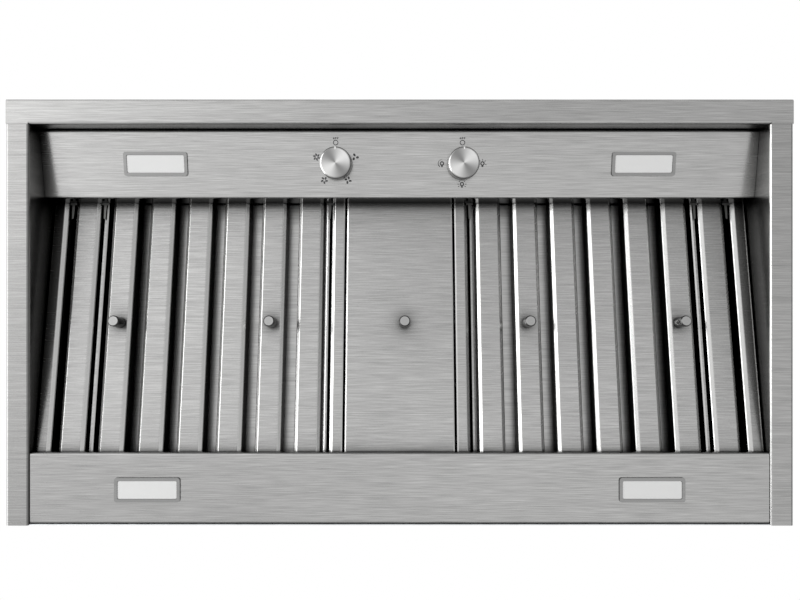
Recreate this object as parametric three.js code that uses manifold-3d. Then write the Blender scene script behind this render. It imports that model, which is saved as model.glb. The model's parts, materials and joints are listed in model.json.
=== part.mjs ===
// A built-in range hood insert seen from below as an open steel tray: a folded casing with a
// light strip, a control panel with two knobs, two lift-out baffle filters either side of a
// lift-out centre panel, and the blower, damper collar and electrical boxes that it holds.
//
// Millimetres, +Z up. X runs left to right, +Y towards the wall, and the origin is the centre
// of the rim's underside, on which the insert stands when it is off the cabinet.

import * as THREE from 'three';
import { mergeVertices } from 'three/addons/utils/BufferGeometryUtils.js';
import Module from 'manifold-3d';

const wasm = await Module();
wasm.setup();

// --- Driving dimensions ---------------------------------------------------------------------

// Casing
const WIDTH = 914.4; // across the rim
const DEPTH = 495.3; // rim, front to wall
const CASE_HEIGHT = 260; // rim underside to top plate
const SHEET = 1.2; // sheet steel
const BEND = 1.6; // inside radius of a fold
const FIT = 0.3; // gap between pieces that sit together
const SIDE_RAIL = 26.9; // rim width at the sides
const FRONT_RAIL = 29; // rim width at the front
const REAR_STRIP = 84.2; // light strip at the wall side
const STRIP_RECESS = 2; // light strip above the rim underside
const INNER_WALL_HEIGHT = 95; // folded-up inner side wall
const TOP_FLANGE = 20; // folded seat under the top plate

// Control panel and the support for the filters
const PANEL_FRONT_HEIGHT = 21; // front edge above the rim underside
const PANEL_RUN = 79.8; // front to back, level distance
const PANEL_RISE = 10.7;
const PANEL_FLANGE = 12; // folded up behind the front lip
const UPSTAND_HEIGHT = 19.8; // carries the front of the filters
const UPSTAND_LEAN = 2.8;
const REAR_LIP_HEIGHT = 10; // carries the back of the filters

// Filter bay
const BAFFLE_PITCH = 46.3; // taken up or down to fit whole baffles into the width
const BAFFLE_FLAT = 22.4;
const CHAMFER_RUN = 4.4;
const CHAMFER_RISE = 3.2;
const BAFFLE_HEIGHT = 17;
const FILLER_INSET = 42.8; // centre of the fixed side baffle, from the casing's inner wall
const FIRST_BAFFLE_X = 109.7; // centre of the baffle beside the centre channel
const FILTER_HEIGHT = 25;
const FILTER_FRONT_LAP = 6; // frame past the front support
const FILTER_REAR_LAP = 12; // frame past the rear lip
const FRAME_LIP_RUN = 5; // sloping edge of the filter frame
const FRAME_LIP_RISE = 3.5;
const FRAME_EDGE_GAP = 1.8; // filter frame to the centre channel
const FRAME_OUTER_SHIFT = 3.4; // frame edge, from midway between its last baffle and the filler
const FRAME_FLANGE = 10; // folded over the top of the filter
const REAR_WALL_DROP = 10; // rear baffle walls reaching into the front baffles
const REAR_WALL_CLEARANCE = 2.1; // air path between front and rear baffle walls
const REAR_SHEET_BORDER = 14; // plain ends of the rear baffle sheet
const SIDE_STRIP = 18.4; // fixed strip beside the casing wall, chamfer included
const SIDE_STRIP_GAP = 1.2; // joint between that strip and the wall

// Centre channel and its lift-out panel
const CHANNEL_HALF = 84;
const PANEL_HALF = 65.5;
const PANEL_GAP = 1.8;
const PANEL_SIDE_FLANGE = 11;
const CHANNEL_TIE = 16; // cross tie, front to back

// Handles
const HANDLE_DIAMETER = 13;
const HANDLE_LENGTH = 18.4;
const HANDLE_EDGE = 0.8;
const HANDLE_STUD = 5;
const HANDLE_STUD_LENGTH = 8;
const HANDLE_PLACE = 150.4; // from the front support, along the filters
const OUTER_HANDLE_OFFSET = 2.6; // filter handles, from the baffle centre towards the middle
const INNER_HANDLE_OFFSET = 1.2;
const CENTRE_HANDLE_X = 6;

// Knobs and their switches
const KNOB_X = 76;
const KNOB_DIAMETER = 38;
const KNOB_FACE_DIAMETER = 33.8;
const KNOB_HEIGHT = 14;
const KNOB_BEVEL = 1.9; // height of the slope from the face to the side
const KNOB_DRAFT = 0.4; // side, narrower at the face than at the foot
const KNOB_BORE_DEPTH = 9.8;
const SHAFT_DIAMETER = 6;
const SHAFT_REACH = 15; // shaft above the panel, into the switch
const SWITCH_SIDE = 36;
const SWITCH_HEIGHT = 24;
const SWITCH_NECK = 11; // threaded neck through the panel

// Lamps
const LAMP_INSET = 136.8; // lamp centre, from the casing's inner wall
const LAMP_LENGTH = 76.4;
const LAMP_WIDTH = 28.4;
const LAMP_CORNER = 3;
const LAMP_RIM = 3.7; // bezel width around the lens
const LAMP_STAND = 1.7; // bezel below the panel
const LAMP_BODY_HEIGHT = 22;
const LAMP_BODY_INSET = 2.4; // body inside the bezel edge
const LENS_THICKNESS = 3;
const LENS_RECESS = 0.6;
const REAR_LAMP_INSET = 41.05; // rear lamp centre, from the wall side

// Blower
const DUCT_DIAMETER = 201.6; // eight-inch collar, outside
const DUCT_OFFSET = 50; // duct centre behind the fan shaft
const COLLAR_HEIGHT = 50;
const COLLAR_FLANGE = 17;
const DAMPER_LEDGE = 6;
const DAMPER_LEDGE_HEIGHT = 8;
const DAMPER_GAP = 3; // flap rim to collar wall
const DAMPER_HINGE_GAP = 3.6; // pin axis to flap edge
const DAMPER_PIN = 4;
const DAMPER_PIN_END = 3; // pin past the collar wall
const DAMPER_SLEEVE = 6.4;
const DAMPER_SPLIT = 38; // half length of the rear flap's sleeve
const DAMPER_SLEEVE_GAP = 2;
const DAMPER_SLEEVE_END = 80;
const SCROLL_WIDTH = 152;
const IMPELLER_RADIUS = 70;
const IMPELLER_WIDTH = 130;
const BLADE_DEPTH = 10;
const BLADE_SET = 5.6; // blade centre, inside the impeller's edge
const BLADE_COUNT = 20;
const BLADE_ANGLE = 35;
const SCROLL_Y = -10;
const SCROLL_DROP = 100; // fan shaft under the top plate's face
const SCROLL_MIN = 78; // scroll radius at the cut-off
const SCROLL_MAX = 105; // scroll radius at the outlet
const INLET_RADIUS = 56;
const OUTLET_FLANGE = 10;
const MOTOR_RADIUS = 42;
const MOTOR_LENGTH = 66;
const MOTOR_SHAFT = 10;
const MOTOR_BOSS_RADIUS = 21;
const MOTOR_CAP_RADIUS = 29;
const MOTOR_CAP = 6;
const MOTOR_RING = 8; // bracket ring outside the inlet
const MOTOR_ARM = 12;
const HUB_RADIUS = 14;
const HUB_LENGTH = 40;
const SHAFT_STUB = 4; // impeller shaft past the hub

// Boxes and hanging rails
const RAIL_INSET = 40.2; // rail face, from the side of the casing
const RAIL_LENGTH = 400;
const RAIL_LEG = 28;
const RAIL_SLOT = 40;
const RAIL_SLOT_WIDTH = 8;
const RAIL_SLOT_HEIGHT = 17; // slot centre above the rail's foot
const RAIL_SLOTS = 3;
const BOX_LENGTH = 110;
const BOX_WIDTH = 76;
const BOX_HEIGHT = 42;
const BOX_INSET = 187.2; // box centre, from the side of the casing
const BOX_BACK_INSET = 97.65; // and from the wall side
const BOX_LID = 2;
const GLAND_DIAMETER = 20;
const GLAND_LENGTH = 12;
const GLAND_BORE = 10;
const DRIVER_INSET = 207.2; // driver centre, from the side of the casing
const DRIVER_FRONT_INSET = 187.65; // and from the front
const DRIVER_LENGTH = 130;
const DRIVER_WIDTH = 46;
const DRIVER_HEIGHT = 30;
const DRIVER_EAR = 14;
const DRIVER_SCREW = 5;

// Facets
const FOLD_STEPS = 3;
const SMALL_FOLD = 1; // inside radius of the baffle folds
const SMALL_FOLD_STEPS = 2;
const ROUND = 32;
const SMALL_ROUND = 20;
const SCROLL_STEPS = 30;

// --- Derived places ---------------------------------------------------------------------------

const HALF_W = WIDTH / 2;
const HALF_D = DEPTH / 2;
const INNER_X = HALF_W - SIDE_RAIL;
const LIP_Y = -HALF_D + FRONT_RAIL;
const STRIP_Y = HALF_D - REAR_STRIP;
const CASE_TOP = CASE_HEIGHT - SHEET - FIT; // top of every upright panel
const lampX = INNER_X - LAMP_INSET;
const rearLampY = HALF_D - REAR_LAMP_INSET;
const ductY = SCROLL_Y + DUCT_OFFSET;
const scrollZ = CASE_HEIGHT - SCROLL_DROP;
const railX = HALF_W - RAIL_INSET;
const boxX = HALF_W - BOX_INSET;
const boxY = HALF_D - BOX_BACK_INSET;
const driverX = -HALF_W + DRIVER_INSET;
const driverY = -HALF_D + DRIVER_FRONT_INSET;

const panelFrontY = LIP_Y + FIT;
const panelBackY = panelFrontY + PANEL_RUN;
const panelBackZ = PANEL_FRONT_HEIGHT + PANEL_RISE;
const panelSlope = Math.atan2(PANEL_RISE, PANEL_RUN);
const panelMiddle = Math.hypot(PANEL_RUN, PANEL_RISE) / 2;

// The filters lie in a plane from the top of the upstand down to the rear lip.
const filterFrontY = panelBackY + UPSTAND_LEAN;
const filterFrontZ = panelBackZ + UPSTAND_HEIGHT;
const filterDrop = filterFrontZ - REAR_LIP_HEIGHT;
const filterSlope = Math.atan2(filterDrop, STRIP_Y - filterFrontY);
const filterSpan = Math.hypot(filterDrop, STRIP_Y - filterFrontY);
const filterStart = -FILTER_FRONT_LAP;
const filterEnd = filterSpan + FILTER_REAR_LAP;

const baffleHalf = BAFFLE_FLAT / 2 + CHAMFER_RUN;
const fillerX = INNER_X - FILLER_INSET;
const filterBaffles = Math.round((fillerX - FIRST_BAFFLE_X) / BAFFLE_PITCH);
const bafflePitch = (fillerX - FIRST_BAFFLE_X) / filterBaffles;
const outerBaffleX = fillerX - bafflePitch;
const frameInner = CHANNEL_HALF + FRAME_EDGE_GAP;
const frameOuter = (fillerX + outerBaffleX) / 2 + FRAME_OUTER_SHIFT;
const rearSheetBottom = FILTER_HEIGHT - 2 * SHEET - FIT;
const ductRadius = DUCT_DIAMETER / 2;

// --- Solids -----------------------------------------------------------------------------------

function toSolid(geometry) {
  const bare = geometry.clone();
  bare.deleteAttribute('normal');
  bare.deleteAttribute('uv');
  const welded = mergeVertices(bare, 1e-4);
  const vertProperties = new Float32Array(welded.attributes.position.array);
  const triVerts = new Uint32Array(welded.index.array);
  return new wasm.Manifold(new wasm.Mesh({ numProp: 3, vertProperties, triVerts }));
}

function toGeometry(solid) {
  const mesh = solid.getMesh();
  const geometry = new THREE.BufferGeometry();
  geometry.setAttribute('position', new THREE.BufferAttribute(mesh.vertProperties, 3));
  geometry.setIndex(new THREE.BufferAttribute(mesh.triVerts, 1));
  const faceted = geometry.toNonIndexed();
  faceted.computeVertexNormals();
  return faceted;
}

function join(solids) {
  return solids.reduce((whole, next) => whole.add(next));
}

function cut(solid, tools) {
  return tools.reduce((rest, tool) => rest.subtract(tool), solid);
}

function block(x0, x1, y0, y1, z0, z1) {
  const geometry = new THREE.BoxGeometry(x1 - x0, y1 - y0, z1 - z0);
  geometry.translate((x0 + x1) / 2, (y0 + y1) / 2, (z0 + z1) / 2);
  return toSolid(geometry);
}

// A right cylinder along z.
function disc(radius, z0, z1, x = 0, y = 0, sides = ROUND) {
  const geometry = new THREE.CylinderGeometry(radius, radius, z1 - z0, sides);
  geometry.rotateX(Math.PI / 2);
  geometry.translate(x, y, (z0 + z1) / 2);
  return toSolid(geometry);
}

// A right cylinder along x.
function rod(radius, x0, x1, y = 0, z = 0, sides = ROUND) {
  const geometry = new THREE.CylinderGeometry(radius, radius, x1 - x0, sides);
  geometry.rotateZ(Math.PI / 2);
  geometry.translate((x0 + x1) / 2, y, z);
  return toSolid(geometry);
}

// A turned piece about z, from a closed outline of [radius, height] points.
function turned(outline, sides = ROUND) {
  const points = outline.map(([r, z]) => new THREE.Vector2(r, z));
  const geometry = new THREE.LatheGeometry(points, sides);
  geometry.rotateX(Math.PI / 2);
  const solid = toSolid(geometry);
  if (solid.volume() > 0) return solid;
  const index = geometry.index.array;
  for (let i = 0; i < index.length; i += 3) [index[i], index[i + 1]] = [index[i + 1], index[i]];
  return toSolid(geometry);
}

const xAxis = new THREE.Vector3(1, 0, 0);
const yAxis = new THREE.Vector3(0, 1, 0);
const zAxis = new THREE.Vector3(0, 0, 1);

// A shape drawn in (y, z), swept from x0 to x1.
function sweepX(shape, x0, x1) {
  const geometry = new THREE.ExtrudeGeometry(shape, { depth: x1 - x0, bevelEnabled: false });
  geometry.applyMatrix4(new THREE.Matrix4().makeBasis(yAxis, zAxis, xAxis));
  geometry.translate(x0, 0, 0);
  return toSolid(geometry);
}

// A shape drawn in (x, z), swept from y0 to y1.
function sweepY(shape, y0, y1) {
  const geometry = new THREE.ExtrudeGeometry(shape, { depth: y1 - y0, bevelEnabled: false });
  const backwards = yAxis.clone().negate();
  geometry.applyMatrix4(new THREE.Matrix4().makeBasis(xAxis, zAxis, backwards));
  geometry.translate(0, y1, 0);
  return toSolid(geometry);
}

// A shape drawn in (x, y), swept from z0 to z1.
function sweepZ(shape, z0, z1) {
  const geometry = new THREE.ExtrudeGeometry(shape, { depth: z1 - z0, bevelEnabled: false });
  geometry.translate(0, 0, z0);
  return toSolid(geometry);
}

function rectangle(x0, x1, y0, y1, radius = 0, steps = 3) {
  if (radius === 0) return [[x0, y0], [x1, y0], [x1, y1], [x0, y1]];
  const corners = [[x1 - radius, y0 + radius], [x1 - radius, y1 - radius],
    [x0 + radius, y1 - radius], [x0 + radius, y0 + radius]];
  return corners.flatMap(([cx, cy], corner) => Array.from({ length: steps + 1 }, (_, k) => {
    const angle = (corner - 1 + k / steps) * Math.PI / 2;
    return [cx + radius * Math.cos(angle), cy + radius * Math.sin(angle)];
  }));
}

function circle(radius, x = 0, y = 0, sides = ROUND) {
  return Array.from({ length: sides }, (_, k) => {
    const angle = (k / sides) * 2 * Math.PI;
    return [x + radius * Math.cos(angle), y + radius * Math.sin(angle)];
  });
}

function outlineShape(points, holes = []) {
  const shape = new THREE.Shape(points.map(([x, y]) => new THREE.Vector2(x, y)));
  holes.forEach((hole) => {
    shape.holes.push(new THREE.Path(hole.map(([x, y]) => new THREE.Vector2(x, y))));
  });
  return shape;
}

// The section of a folded sheet. The path is the face that shows, the sheet lies to its left
// (or right, where the thickness is negative), and every corner is a rounded fold.
function foldedSheet(path, thickness, bend = BEND, steps = FOLD_STEPS) {
  const near = [];
  const far = [];
  const legs = path.slice(1).map(([x, y], i) =>
    new THREE.Vector2(x - path[i][0], y - path[i][1]).normalize());
  const place = (x, y, heading) => {
    near.push([x, y]);
    far.push([x - Math.sin(heading) * thickness, y + Math.cos(heading) * thickness]);
  };
  const headings = legs.map((leg) => Math.atan2(leg.y, leg.x));
  place(path[0][0], path[0][1], headings[0]);
  for (let i = 1; i < path.length - 1; i += 1) {
    const turn = Math.atan2(legs[i - 1].cross(legs[i]), legs[i - 1].dot(legs[i]));
    const inside = turn * thickness > 0;
    const radius = inside ? bend + Math.abs(thickness) : bend;
    const side = Math.sign(turn);
    const setback = radius * Math.tan(Math.abs(turn) / 2);
    const startX = path[i][0] - legs[i - 1].x * setback;
    const startY = path[i][1] - legs[i - 1].y * setback;
    const centreX = startX - side * radius * Math.sin(headings[i - 1]);
    const centreY = startY + side * radius * Math.cos(headings[i - 1]);
    for (let k = 0; k <= steps; k += 1) {
      const heading = headings[i - 1] + turn * (k / steps);
      const x = centreX + side * radius * Math.sin(heading);
      const y = centreY - side * radius * Math.cos(heading);
      place(x, y, heading);
    }
  }
  const last = path[path.length - 1];
  place(last[0], last[1], headings[headings.length - 1]);
  return outlineShape([...near, ...far.reverse()]);
}

// --- Materials --------------------------------------------------------------------------------

function steel(colour, roughness) {
  return new THREE.MeshStandardMaterial({ color: colour, metalness: 1, roughness });
}

const brushed = steel(0xb9b9b7, 0.34);
const galvanised = steel(0x9fa3a6, 0.5);
const polished = steel(0xc9c9c8, 0.2);
const motorPaint = new THREE.MeshStandardMaterial({ color: 0x2b2d30, roughness: 0.55 });
const moulded = new THREE.MeshStandardMaterial({ color: 0x1c1d1f, roughness: 0.6 });
const frosted = new THREE.MeshStandardMaterial({ color: 0xeef0ee, roughness: 0.5 });

// --- Placing ----------------------------------------------------------------------------------

const hood = new THREE.Group();
const panelGroup = new THREE.Group(); // y up the control panel, z square to it
const filterGroup = new THREE.Group(); // y down the filters towards the wall, z square to them
panelGroup.position.set(0, panelFrontY, PANEL_FRONT_HEIGHT);
panelGroup.rotation.x = panelSlope;
filterGroup.position.set(0, filterFrontY, filterFrontZ);
filterGroup.rotation.x = -filterSlope;
hood.add(panelGroup, filterGroup);

function add(name, solid, material, group = hood) {
  const mesh = new THREE.Mesh(toGeometry(solid), material);
  mesh.name = name;
  group.add(mesh);
  return mesh;
}

// --- Casing -----------------------------------------------------------------------------------

function frontPanel() {
  const railBack = LIP_Y;
  const rail = foldedSheet([[railBack, 0], [-HALF_D, 0], [-HALF_D, CASE_TOP]], -SHEET);
  const lipTop = PANEL_FRONT_HEIGHT + PANEL_FLANGE / 2;
  const lip = foldedSheet([[railBack, lipTop], [railBack, 0], [railBack - FRONT_RAIL / 2, 0]], -SHEET);
  const flangeTop = block(-HALF_W + SHEET + FIT, HALF_W - SHEET - FIT,
    -HALF_D, -HALF_D + TOP_FLANGE, CASE_TOP - SHEET, CASE_TOP);
  // The rail is square-cut where it meets the side rails, and folded up between them.
  const foldRoom = BEND + SHEET;
  const lipZone = block(-INNER_X - SHEET, INNER_X + SHEET,
    railBack - foldRoom, railBack + 1, -1, SHEET + 1);
  return join([sweepX(rail, -HALF_W, HALF_W).subtract(lipZone),
    sweepX(lip, -INNER_X - SHEET, INNER_X + SHEET), flangeTop]);
}

// The side panel is one sheet: inner wall, rim, outer wall and the seat for the top plate.
function sidePanel(side) {
  const profile = foldedSheet([[side * INNER_X, INNER_WALL_HEIGHT], [side * INNER_X, 0],
    [side * HALF_W, 0], [side * HALF_W, CASE_TOP]], side * SHEET);
  const start = LIP_Y + FIT;
  const spanX = (a, b) => [Math.min(side * a, side * b), Math.max(side * a, side * b)];
  const [wall0, wall1] = spanX(HALF_W - SHEET, HALF_W);
  const [seat0, seat1] = spanX(HALF_W - TOP_FLANGE, HALF_W);
  const [back0, back1] = spanX(INNER_X - 1, HALF_W - SHEET);
  const frontWall = block(wall0, wall1, -HALF_D + SHEET + FIT, start + 1, SHEET + BEND, CASE_TOP);
  const seat = block(seat0, seat1, -HALF_D + TOP_FLANGE + FIT, HALF_D - TOP_FLANGE - FIT,
    CASE_TOP - SHEET, CASE_TOP);
  const backRoom = block(back0, back1, HALF_D - SHEET - FIT, HALF_D + 1, SHEET, CASE_TOP + 1);
  return join([sweepY(profile, start, HALF_D), frontWall, seat]).subtract(backRoom);
}

function backPanel() {
  const half = HALF_W - SHEET - FIT;
  const wall = block(-half, half, HALF_D - SHEET, HALF_D, STRIP_RECESS, CASE_TOP);
  const seat = block(-half, half, HALF_D - TOP_FLANGE, HALF_D, CASE_TOP - SHEET, CASE_TOP);
  return wall.add(seat);
}

function topPlate() {
  const wireHole = circle(GLAND_DIAMETER / 2, boxX, boxY, SMALL_ROUND);
  const shape = outlineShape(rectangle(-HALF_W, HALF_W, -HALF_D, HALF_D, BEND),
    [circle(ductRadius, 0, ductY), wireHole]);
  return sweepZ(shape, CASE_HEIGHT - SHEET, CASE_HEIGHT);
}

function lampOpenings(y, z) {
  const halfX = LAMP_LENGTH / 2 - LAMP_BODY_INSET + FIT;
  const halfY = LAMP_WIDTH / 2 - LAMP_BODY_INSET + FIT;
  return [-1, 1].map((side) => block(side * lampX - halfX, side * lampX + halfX,
    y - halfY, y + halfY, z - 3 * SHEET, z + 3 * SHEET));
}

function rearLightPanel() {
  const lipTop = REAR_LIP_HEIGHT - SHEET * Math.tan(filterSlope) - FIT;
  const back = HALF_D - SHEET - FIT;
  const profile = foldedSheet([[STRIP_Y, lipTop], [STRIP_Y, STRIP_RECESS], [back, STRIP_RECESS],
    [back, STRIP_RECESS + TOP_FLANGE]], SHEET);
  const half = INNER_X - FIT;
  return cut(sweepX(profile, -half, half), lampOpenings(rearLampY, STRIP_RECESS));
}

function rearFilterStop() {
  const topCornerY = filterFrontY + filterEnd * Math.cos(filterSlope)
    + FILTER_HEIGHT * Math.sin(filterSlope);
  const stopY = topCornerY + FIT;
  const foot = STRIP_RECESS + SHEET + FIT;
  const top = filterFrontZ - filterEnd * Math.sin(filterSlope) + FILTER_HEIGHT;
  const profile = foldedSheet([[stopY - FILTER_REAR_LAP, foot], [stopY + SHEET, foot],
    [stopY + SHEET, top]], SHEET);
  return sweepX(profile, -INNER_X + FIT, INNER_X - FIT);
}

// Shapes a tool drawn at the control panel's own origin into the casing's frame.
function onPanel(solid) {
  const degrees = THREE.MathUtils.radToDeg(panelSlope);
  return solid.rotate([degrees, 0, 0]).translate([0, panelFrontY, PANEL_FRONT_HEIGHT]);
}

function controlPanel() {
  const topY = filterFrontY - FIT * Math.sin(filterSlope);
  const topZ = filterFrontZ - FIT * Math.cos(filterSlope) - SHEET * Math.sin(filterSlope);
  const profile = foldedSheet([[panelFrontY, PANEL_FRONT_HEIGHT + PANEL_FLANGE],
    [panelFrontY, PANEL_FRONT_HEIGHT], [panelBackY, panelBackZ], [topY, topZ]], SHEET);
  const half = INNER_X - FIT;
  const shaftHoles = [-1, 1].map((side) =>
    disc(SWITCH_NECK / 2 + FIT, -3 * SHEET, 3 * SHEET, side * KNOB_X, panelMiddle, SMALL_ROUND));
  const tools = [...shaftHoles, ...lampOpenings(panelMiddle, 0)].map(onPanel);
  return cut(sweepX(profile, -half, half), tools);
}

add('front_panel', frontPanel(), brushed);
add('left_side_panel', sidePanel(-1), brushed);
add('right_side_panel', sidePanel(1), brushed);
add('back_panel', backPanel(), galvanised);
add('top_plate', topPlate(), galvanised);
add('rear_light_panel', rearLightPanel(), brushed);
add('rear_filter_stop', rearFilterStop(), galvanised);
add('control_panel', controlPanel(), brushed);

// --- Lamps ------------------------------------------------------------------------------------

// Drawn about its own centre, with z = 0 on the panel's underside.
function lampHousing() {
  const halfX = LAMP_LENGTH / 2;
  const halfY = LAMP_WIDTH / 2;
  const bezel = sweepZ(outlineShape(rectangle(-halfX, halfX, -halfY, halfY, LAMP_CORNER)),
    -LAMP_STAND, -FIT);
  const inX = halfX - LAMP_BODY_INSET;
  const inY = halfY - LAMP_BODY_INSET;
  const body = block(-inX, inX, -inY, inY, -LAMP_STAND / 2, LAMP_BODY_HEIGHT);
  const mouthX = halfX - LAMP_RIM;
  const mouthY = halfY - LAMP_RIM;
  const mouth = sweepZ(outlineShape(rectangle(-mouthX, mouthX, -mouthY, mouthY, LAMP_CORNER / 2)),
    -LAMP_STAND - 1, LAMP_BODY_HEIGHT - SHEET);
  return bezel.add(body).subtract(mouth);
}

function lampLens() {
  const halfX = LAMP_LENGTH / 2 - LAMP_RIM - FIT;
  const halfY = LAMP_WIDTH / 2 - LAMP_RIM - FIT;
  const bottom = -LAMP_STAND + LENS_RECESS;
  const shape = outlineShape(rectangle(-halfX, halfX, -halfY, halfY, LAMP_CORNER / 2));
  return sweepZ(shape, bottom, bottom + LENS_THICKNESS);
}

function addLamp(name, x, y, z, group) {
  add(`${name}_lamp_housing`, lampHousing(), polished, group).position.set(x, y, z);
  add(`${name}_lamp_lens`, lampLens(), frosted, group).position.set(x, y, z);
}

[['left', -1], ['right', 1]].forEach(([word, side]) => {
  addLamp(`front_${word}`, side * lampX, panelMiddle, 0, panelGroup);
  addLamp(`rear_${word}`, side * lampX, rearLampY, STRIP_RECESS, hood);
});

// --- Switches and knobs, z = 0 on the panel's underside, -z towards the cook --------------------

function rotarySwitch() {
  const half = SWITCH_SIDE / 2;
  const bottom = SHEET + FIT;
  const body = block(-half, half, -half, half, bottom, bottom + SWITCH_HEIGHT);
  const neck = disc(SWITCH_NECK / 2, -SHEET, bottom + 1, 0, 0, SMALL_ROUND);
  const bore = disc(SHAFT_DIAMETER / 2 + FIT, -SHEET - 1, SHAFT_REACH + FIT, 0, 0, SMALL_ROUND);
  return body.add(neck).subtract(bore);
}

const knobTop = -SHEET - 2 * FIT; // knob underside, clear of the switch neck
const knobFace = knobTop - KNOB_HEIGHT;
const shaftEnd = knobTop - KNOB_BORE_DEPTH;

function switchShaft() {
  return disc(SHAFT_DIAMETER / 2, shaftEnd, SHAFT_REACH, 0, 0, SMALL_ROUND);
}

function knob() {
  const bore = SHAFT_DIAMETER / 2 + FIT;
  const outer = KNOB_DIAMETER / 2;
  const face = KNOB_FACE_DIAMETER / 2;
  const shoulder = outer - KNOB_DRAFT;
  return turned([[bore, knobTop], [bore, shaftEnd - FIT], [0, shaftEnd - FIT], [0, knobFace],
    [face, knobFace], [(face + shoulder) / 2, knobFace + KNOB_BEVEL / 3],
    [shoulder, knobFace + KNOB_BEVEL], [outer, knobTop], [bore, knobTop]], ROUND + 8);
}

[['fan', 1], ['light', -1]].forEach(([word, side]) => {
  const x = -side * KNOB_X;
  add(`${word}_switch`, rotarySwitch(), moulded, panelGroup).position.set(x, panelMiddle, 0);
  add(`${word}_switch_shaft`, switchShaft(), polished, panelGroup).position.set(x, panelMiddle, 0);
  add(`${word}_knob`, knob(), polished, panelGroup).position.set(x, panelMiddle, 0);
});

// --- Filter bay -------------------------------------------------------------------------------

// Face path of one hat-shaped baffle, from its left wall to its right wall.
function bafflePath(x, wallTop) {
  const flat = BAFFLE_FLAT / 2;
  return [[x - baffleHalf, wallTop], [x - baffleHalf, CHAMFER_RISE], [x - flat, 0],
    [x + flat, 0], [x + baffleHalf, CHAMFER_RISE], [x + baffleHalf, wallTop]];
}

// Fixed strip and baffle between the casing wall and the filter, folded from one sheet.
function sideFiller(side) {
  const wall = INNER_X - SIDE_STRIP_GAP;
  const strip = INNER_X - SIDE_STRIP;
  const path = [[wall, FILTER_HEIGHT], [wall, 0], [strip + CHAMFER_RUN, 0], [strip, CHAMFER_RISE],
    [strip, BAFFLE_HEIGHT + CHAMFER_RUN], [fillerX + baffleHalf, BAFFLE_HEIGHT + CHAMFER_RUN],
    ...bafflePath(fillerX, FILTER_HEIGHT).reverse().slice(1)];
  const shape = foldedSheet(path.map(([x, z]) => [side * x, z]), -side * SHEET, SMALL_FOLD,
    SMALL_FOLD_STEPS);
  return sweepY(shape, filterStart, filterEnd);
}

// Two rails tied across the top, with the lift-out panel lying between them.
function centreChannel() {
  const opening = PANEL_HALF + PANEL_GAP;
  const rails = [-1, 1].map((side) => {
    const path = [[opening, PANEL_SIDE_FLANGE], [opening, 0], [CHANNEL_HALF - CHAMFER_RUN, 0],
      [CHANNEL_HALF, CHAMFER_RISE], [CHANNEL_HALF, FILTER_HEIGHT]];
    const shape = foldedSheet(path.map(([x, z]) => [side * x, z]), side * SHEET, SMALL_FOLD,
      SMALL_FOLD_STEPS);
    return sweepY(shape, filterStart, filterEnd);
  });
  const ties = [filterStart, filterEnd - CHANNEL_TIE].map((y) =>
    block(-CHANNEL_HALF, CHANNEL_HALF, y, y + CHANNEL_TIE, FILTER_HEIGHT - SHEET, FILTER_HEIGHT));
  return join([...rails, ...ties]);
}

function studHole(x) {
  return disc(HANDLE_STUD / 2 + FIT, -1, 2 * SHEET, x, HANDLE_PLACE, SMALL_ROUND);
}

function centrePanel() {
  const path = [[-PANEL_HALF, PANEL_SIDE_FLANGE], [-PANEL_HALF, 0], [PANEL_HALF, 0],
    [PANEL_HALF, PANEL_SIDE_FLANGE]];
  const sheet = sweepY(foldedSheet(path, SHEET, SMALL_FOLD, SMALL_FOLD_STEPS), filterStart, filterEnd);
  return sheet.subtract(studHole(CENTRE_HANDLE_X));
}

function handle() {
  const radius = HANDLE_DIAMETER / 2;
  const stud = HANDLE_STUD / 2;
  return turned([[0, -HANDLE_LENGTH], [radius - HANDLE_EDGE, -HANDLE_LENGTH],
    [radius, -HANDLE_LENGTH + HANDLE_EDGE], [radius, -FIT], [stud, -FIT], [stud, HANDLE_STUD_LENGTH],
    [0, HANDLE_STUD_LENGTH], [0, -HANDLE_LENGTH]], SMALL_ROUND);
}

function addHandle(name, x) {
  add(name, handle(), polished, filterGroup).position.set(x, HANDLE_PLACE, 0);
}

function filterFrame(side) {
  const members = [[frameOuter, -1], [frameInner, 1]].map(([edge, inward]) => {
    const path = [[edge + inward * FRAME_LIP_RUN, FRAME_LIP_RISE], [edge, FIT],
      [edge, FILTER_HEIGHT], [edge + inward * FRAME_FLANGE, FILTER_HEIGHT]];
    const shape = foldedSheet(path.map(([x, z]) => [side * x, z]), -side * inward * SHEET, SMALL_FOLD,
      SMALL_FOLD_STEPS);
    return sweepY(shape, filterStart, filterEnd);
  });
  const x0 = Math.min(side * frameInner, side * frameOuter) + SHEET / 2;
  const x1 = Math.max(side * frameInner, side * frameOuter) - SHEET / 2;
  const ends = [[filterStart, 1], [filterEnd, -1]].flatMap(([y, inward]) => {
    const wall = [y, y + inward * SHEET].sort((a, b) => a - b);
    const flange = [y, y + inward * FRAME_FLANGE].sort((a, b) => a - b);
    return [block(x0, x1, wall[0], wall[1], SHEET, FILTER_HEIGHT),
      block(x0, x1, flange[0], flange[1], FILTER_HEIGHT - SHEET, FILTER_HEIGHT)];
  });
  return join([...members, ...ends]);
}

const insideStart = filterStart + SHEET + FIT;
const insideEnd = filterEnd - SHEET - FIT;

function frontBaffle(x) {
  const shape = foldedSheet(bafflePath(x, BAFFLE_HEIGHT), SHEET, SMALL_FOLD, SMALL_FOLD_STEPS);
  return sweepY(shape, insideStart, insideEnd);
}

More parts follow.
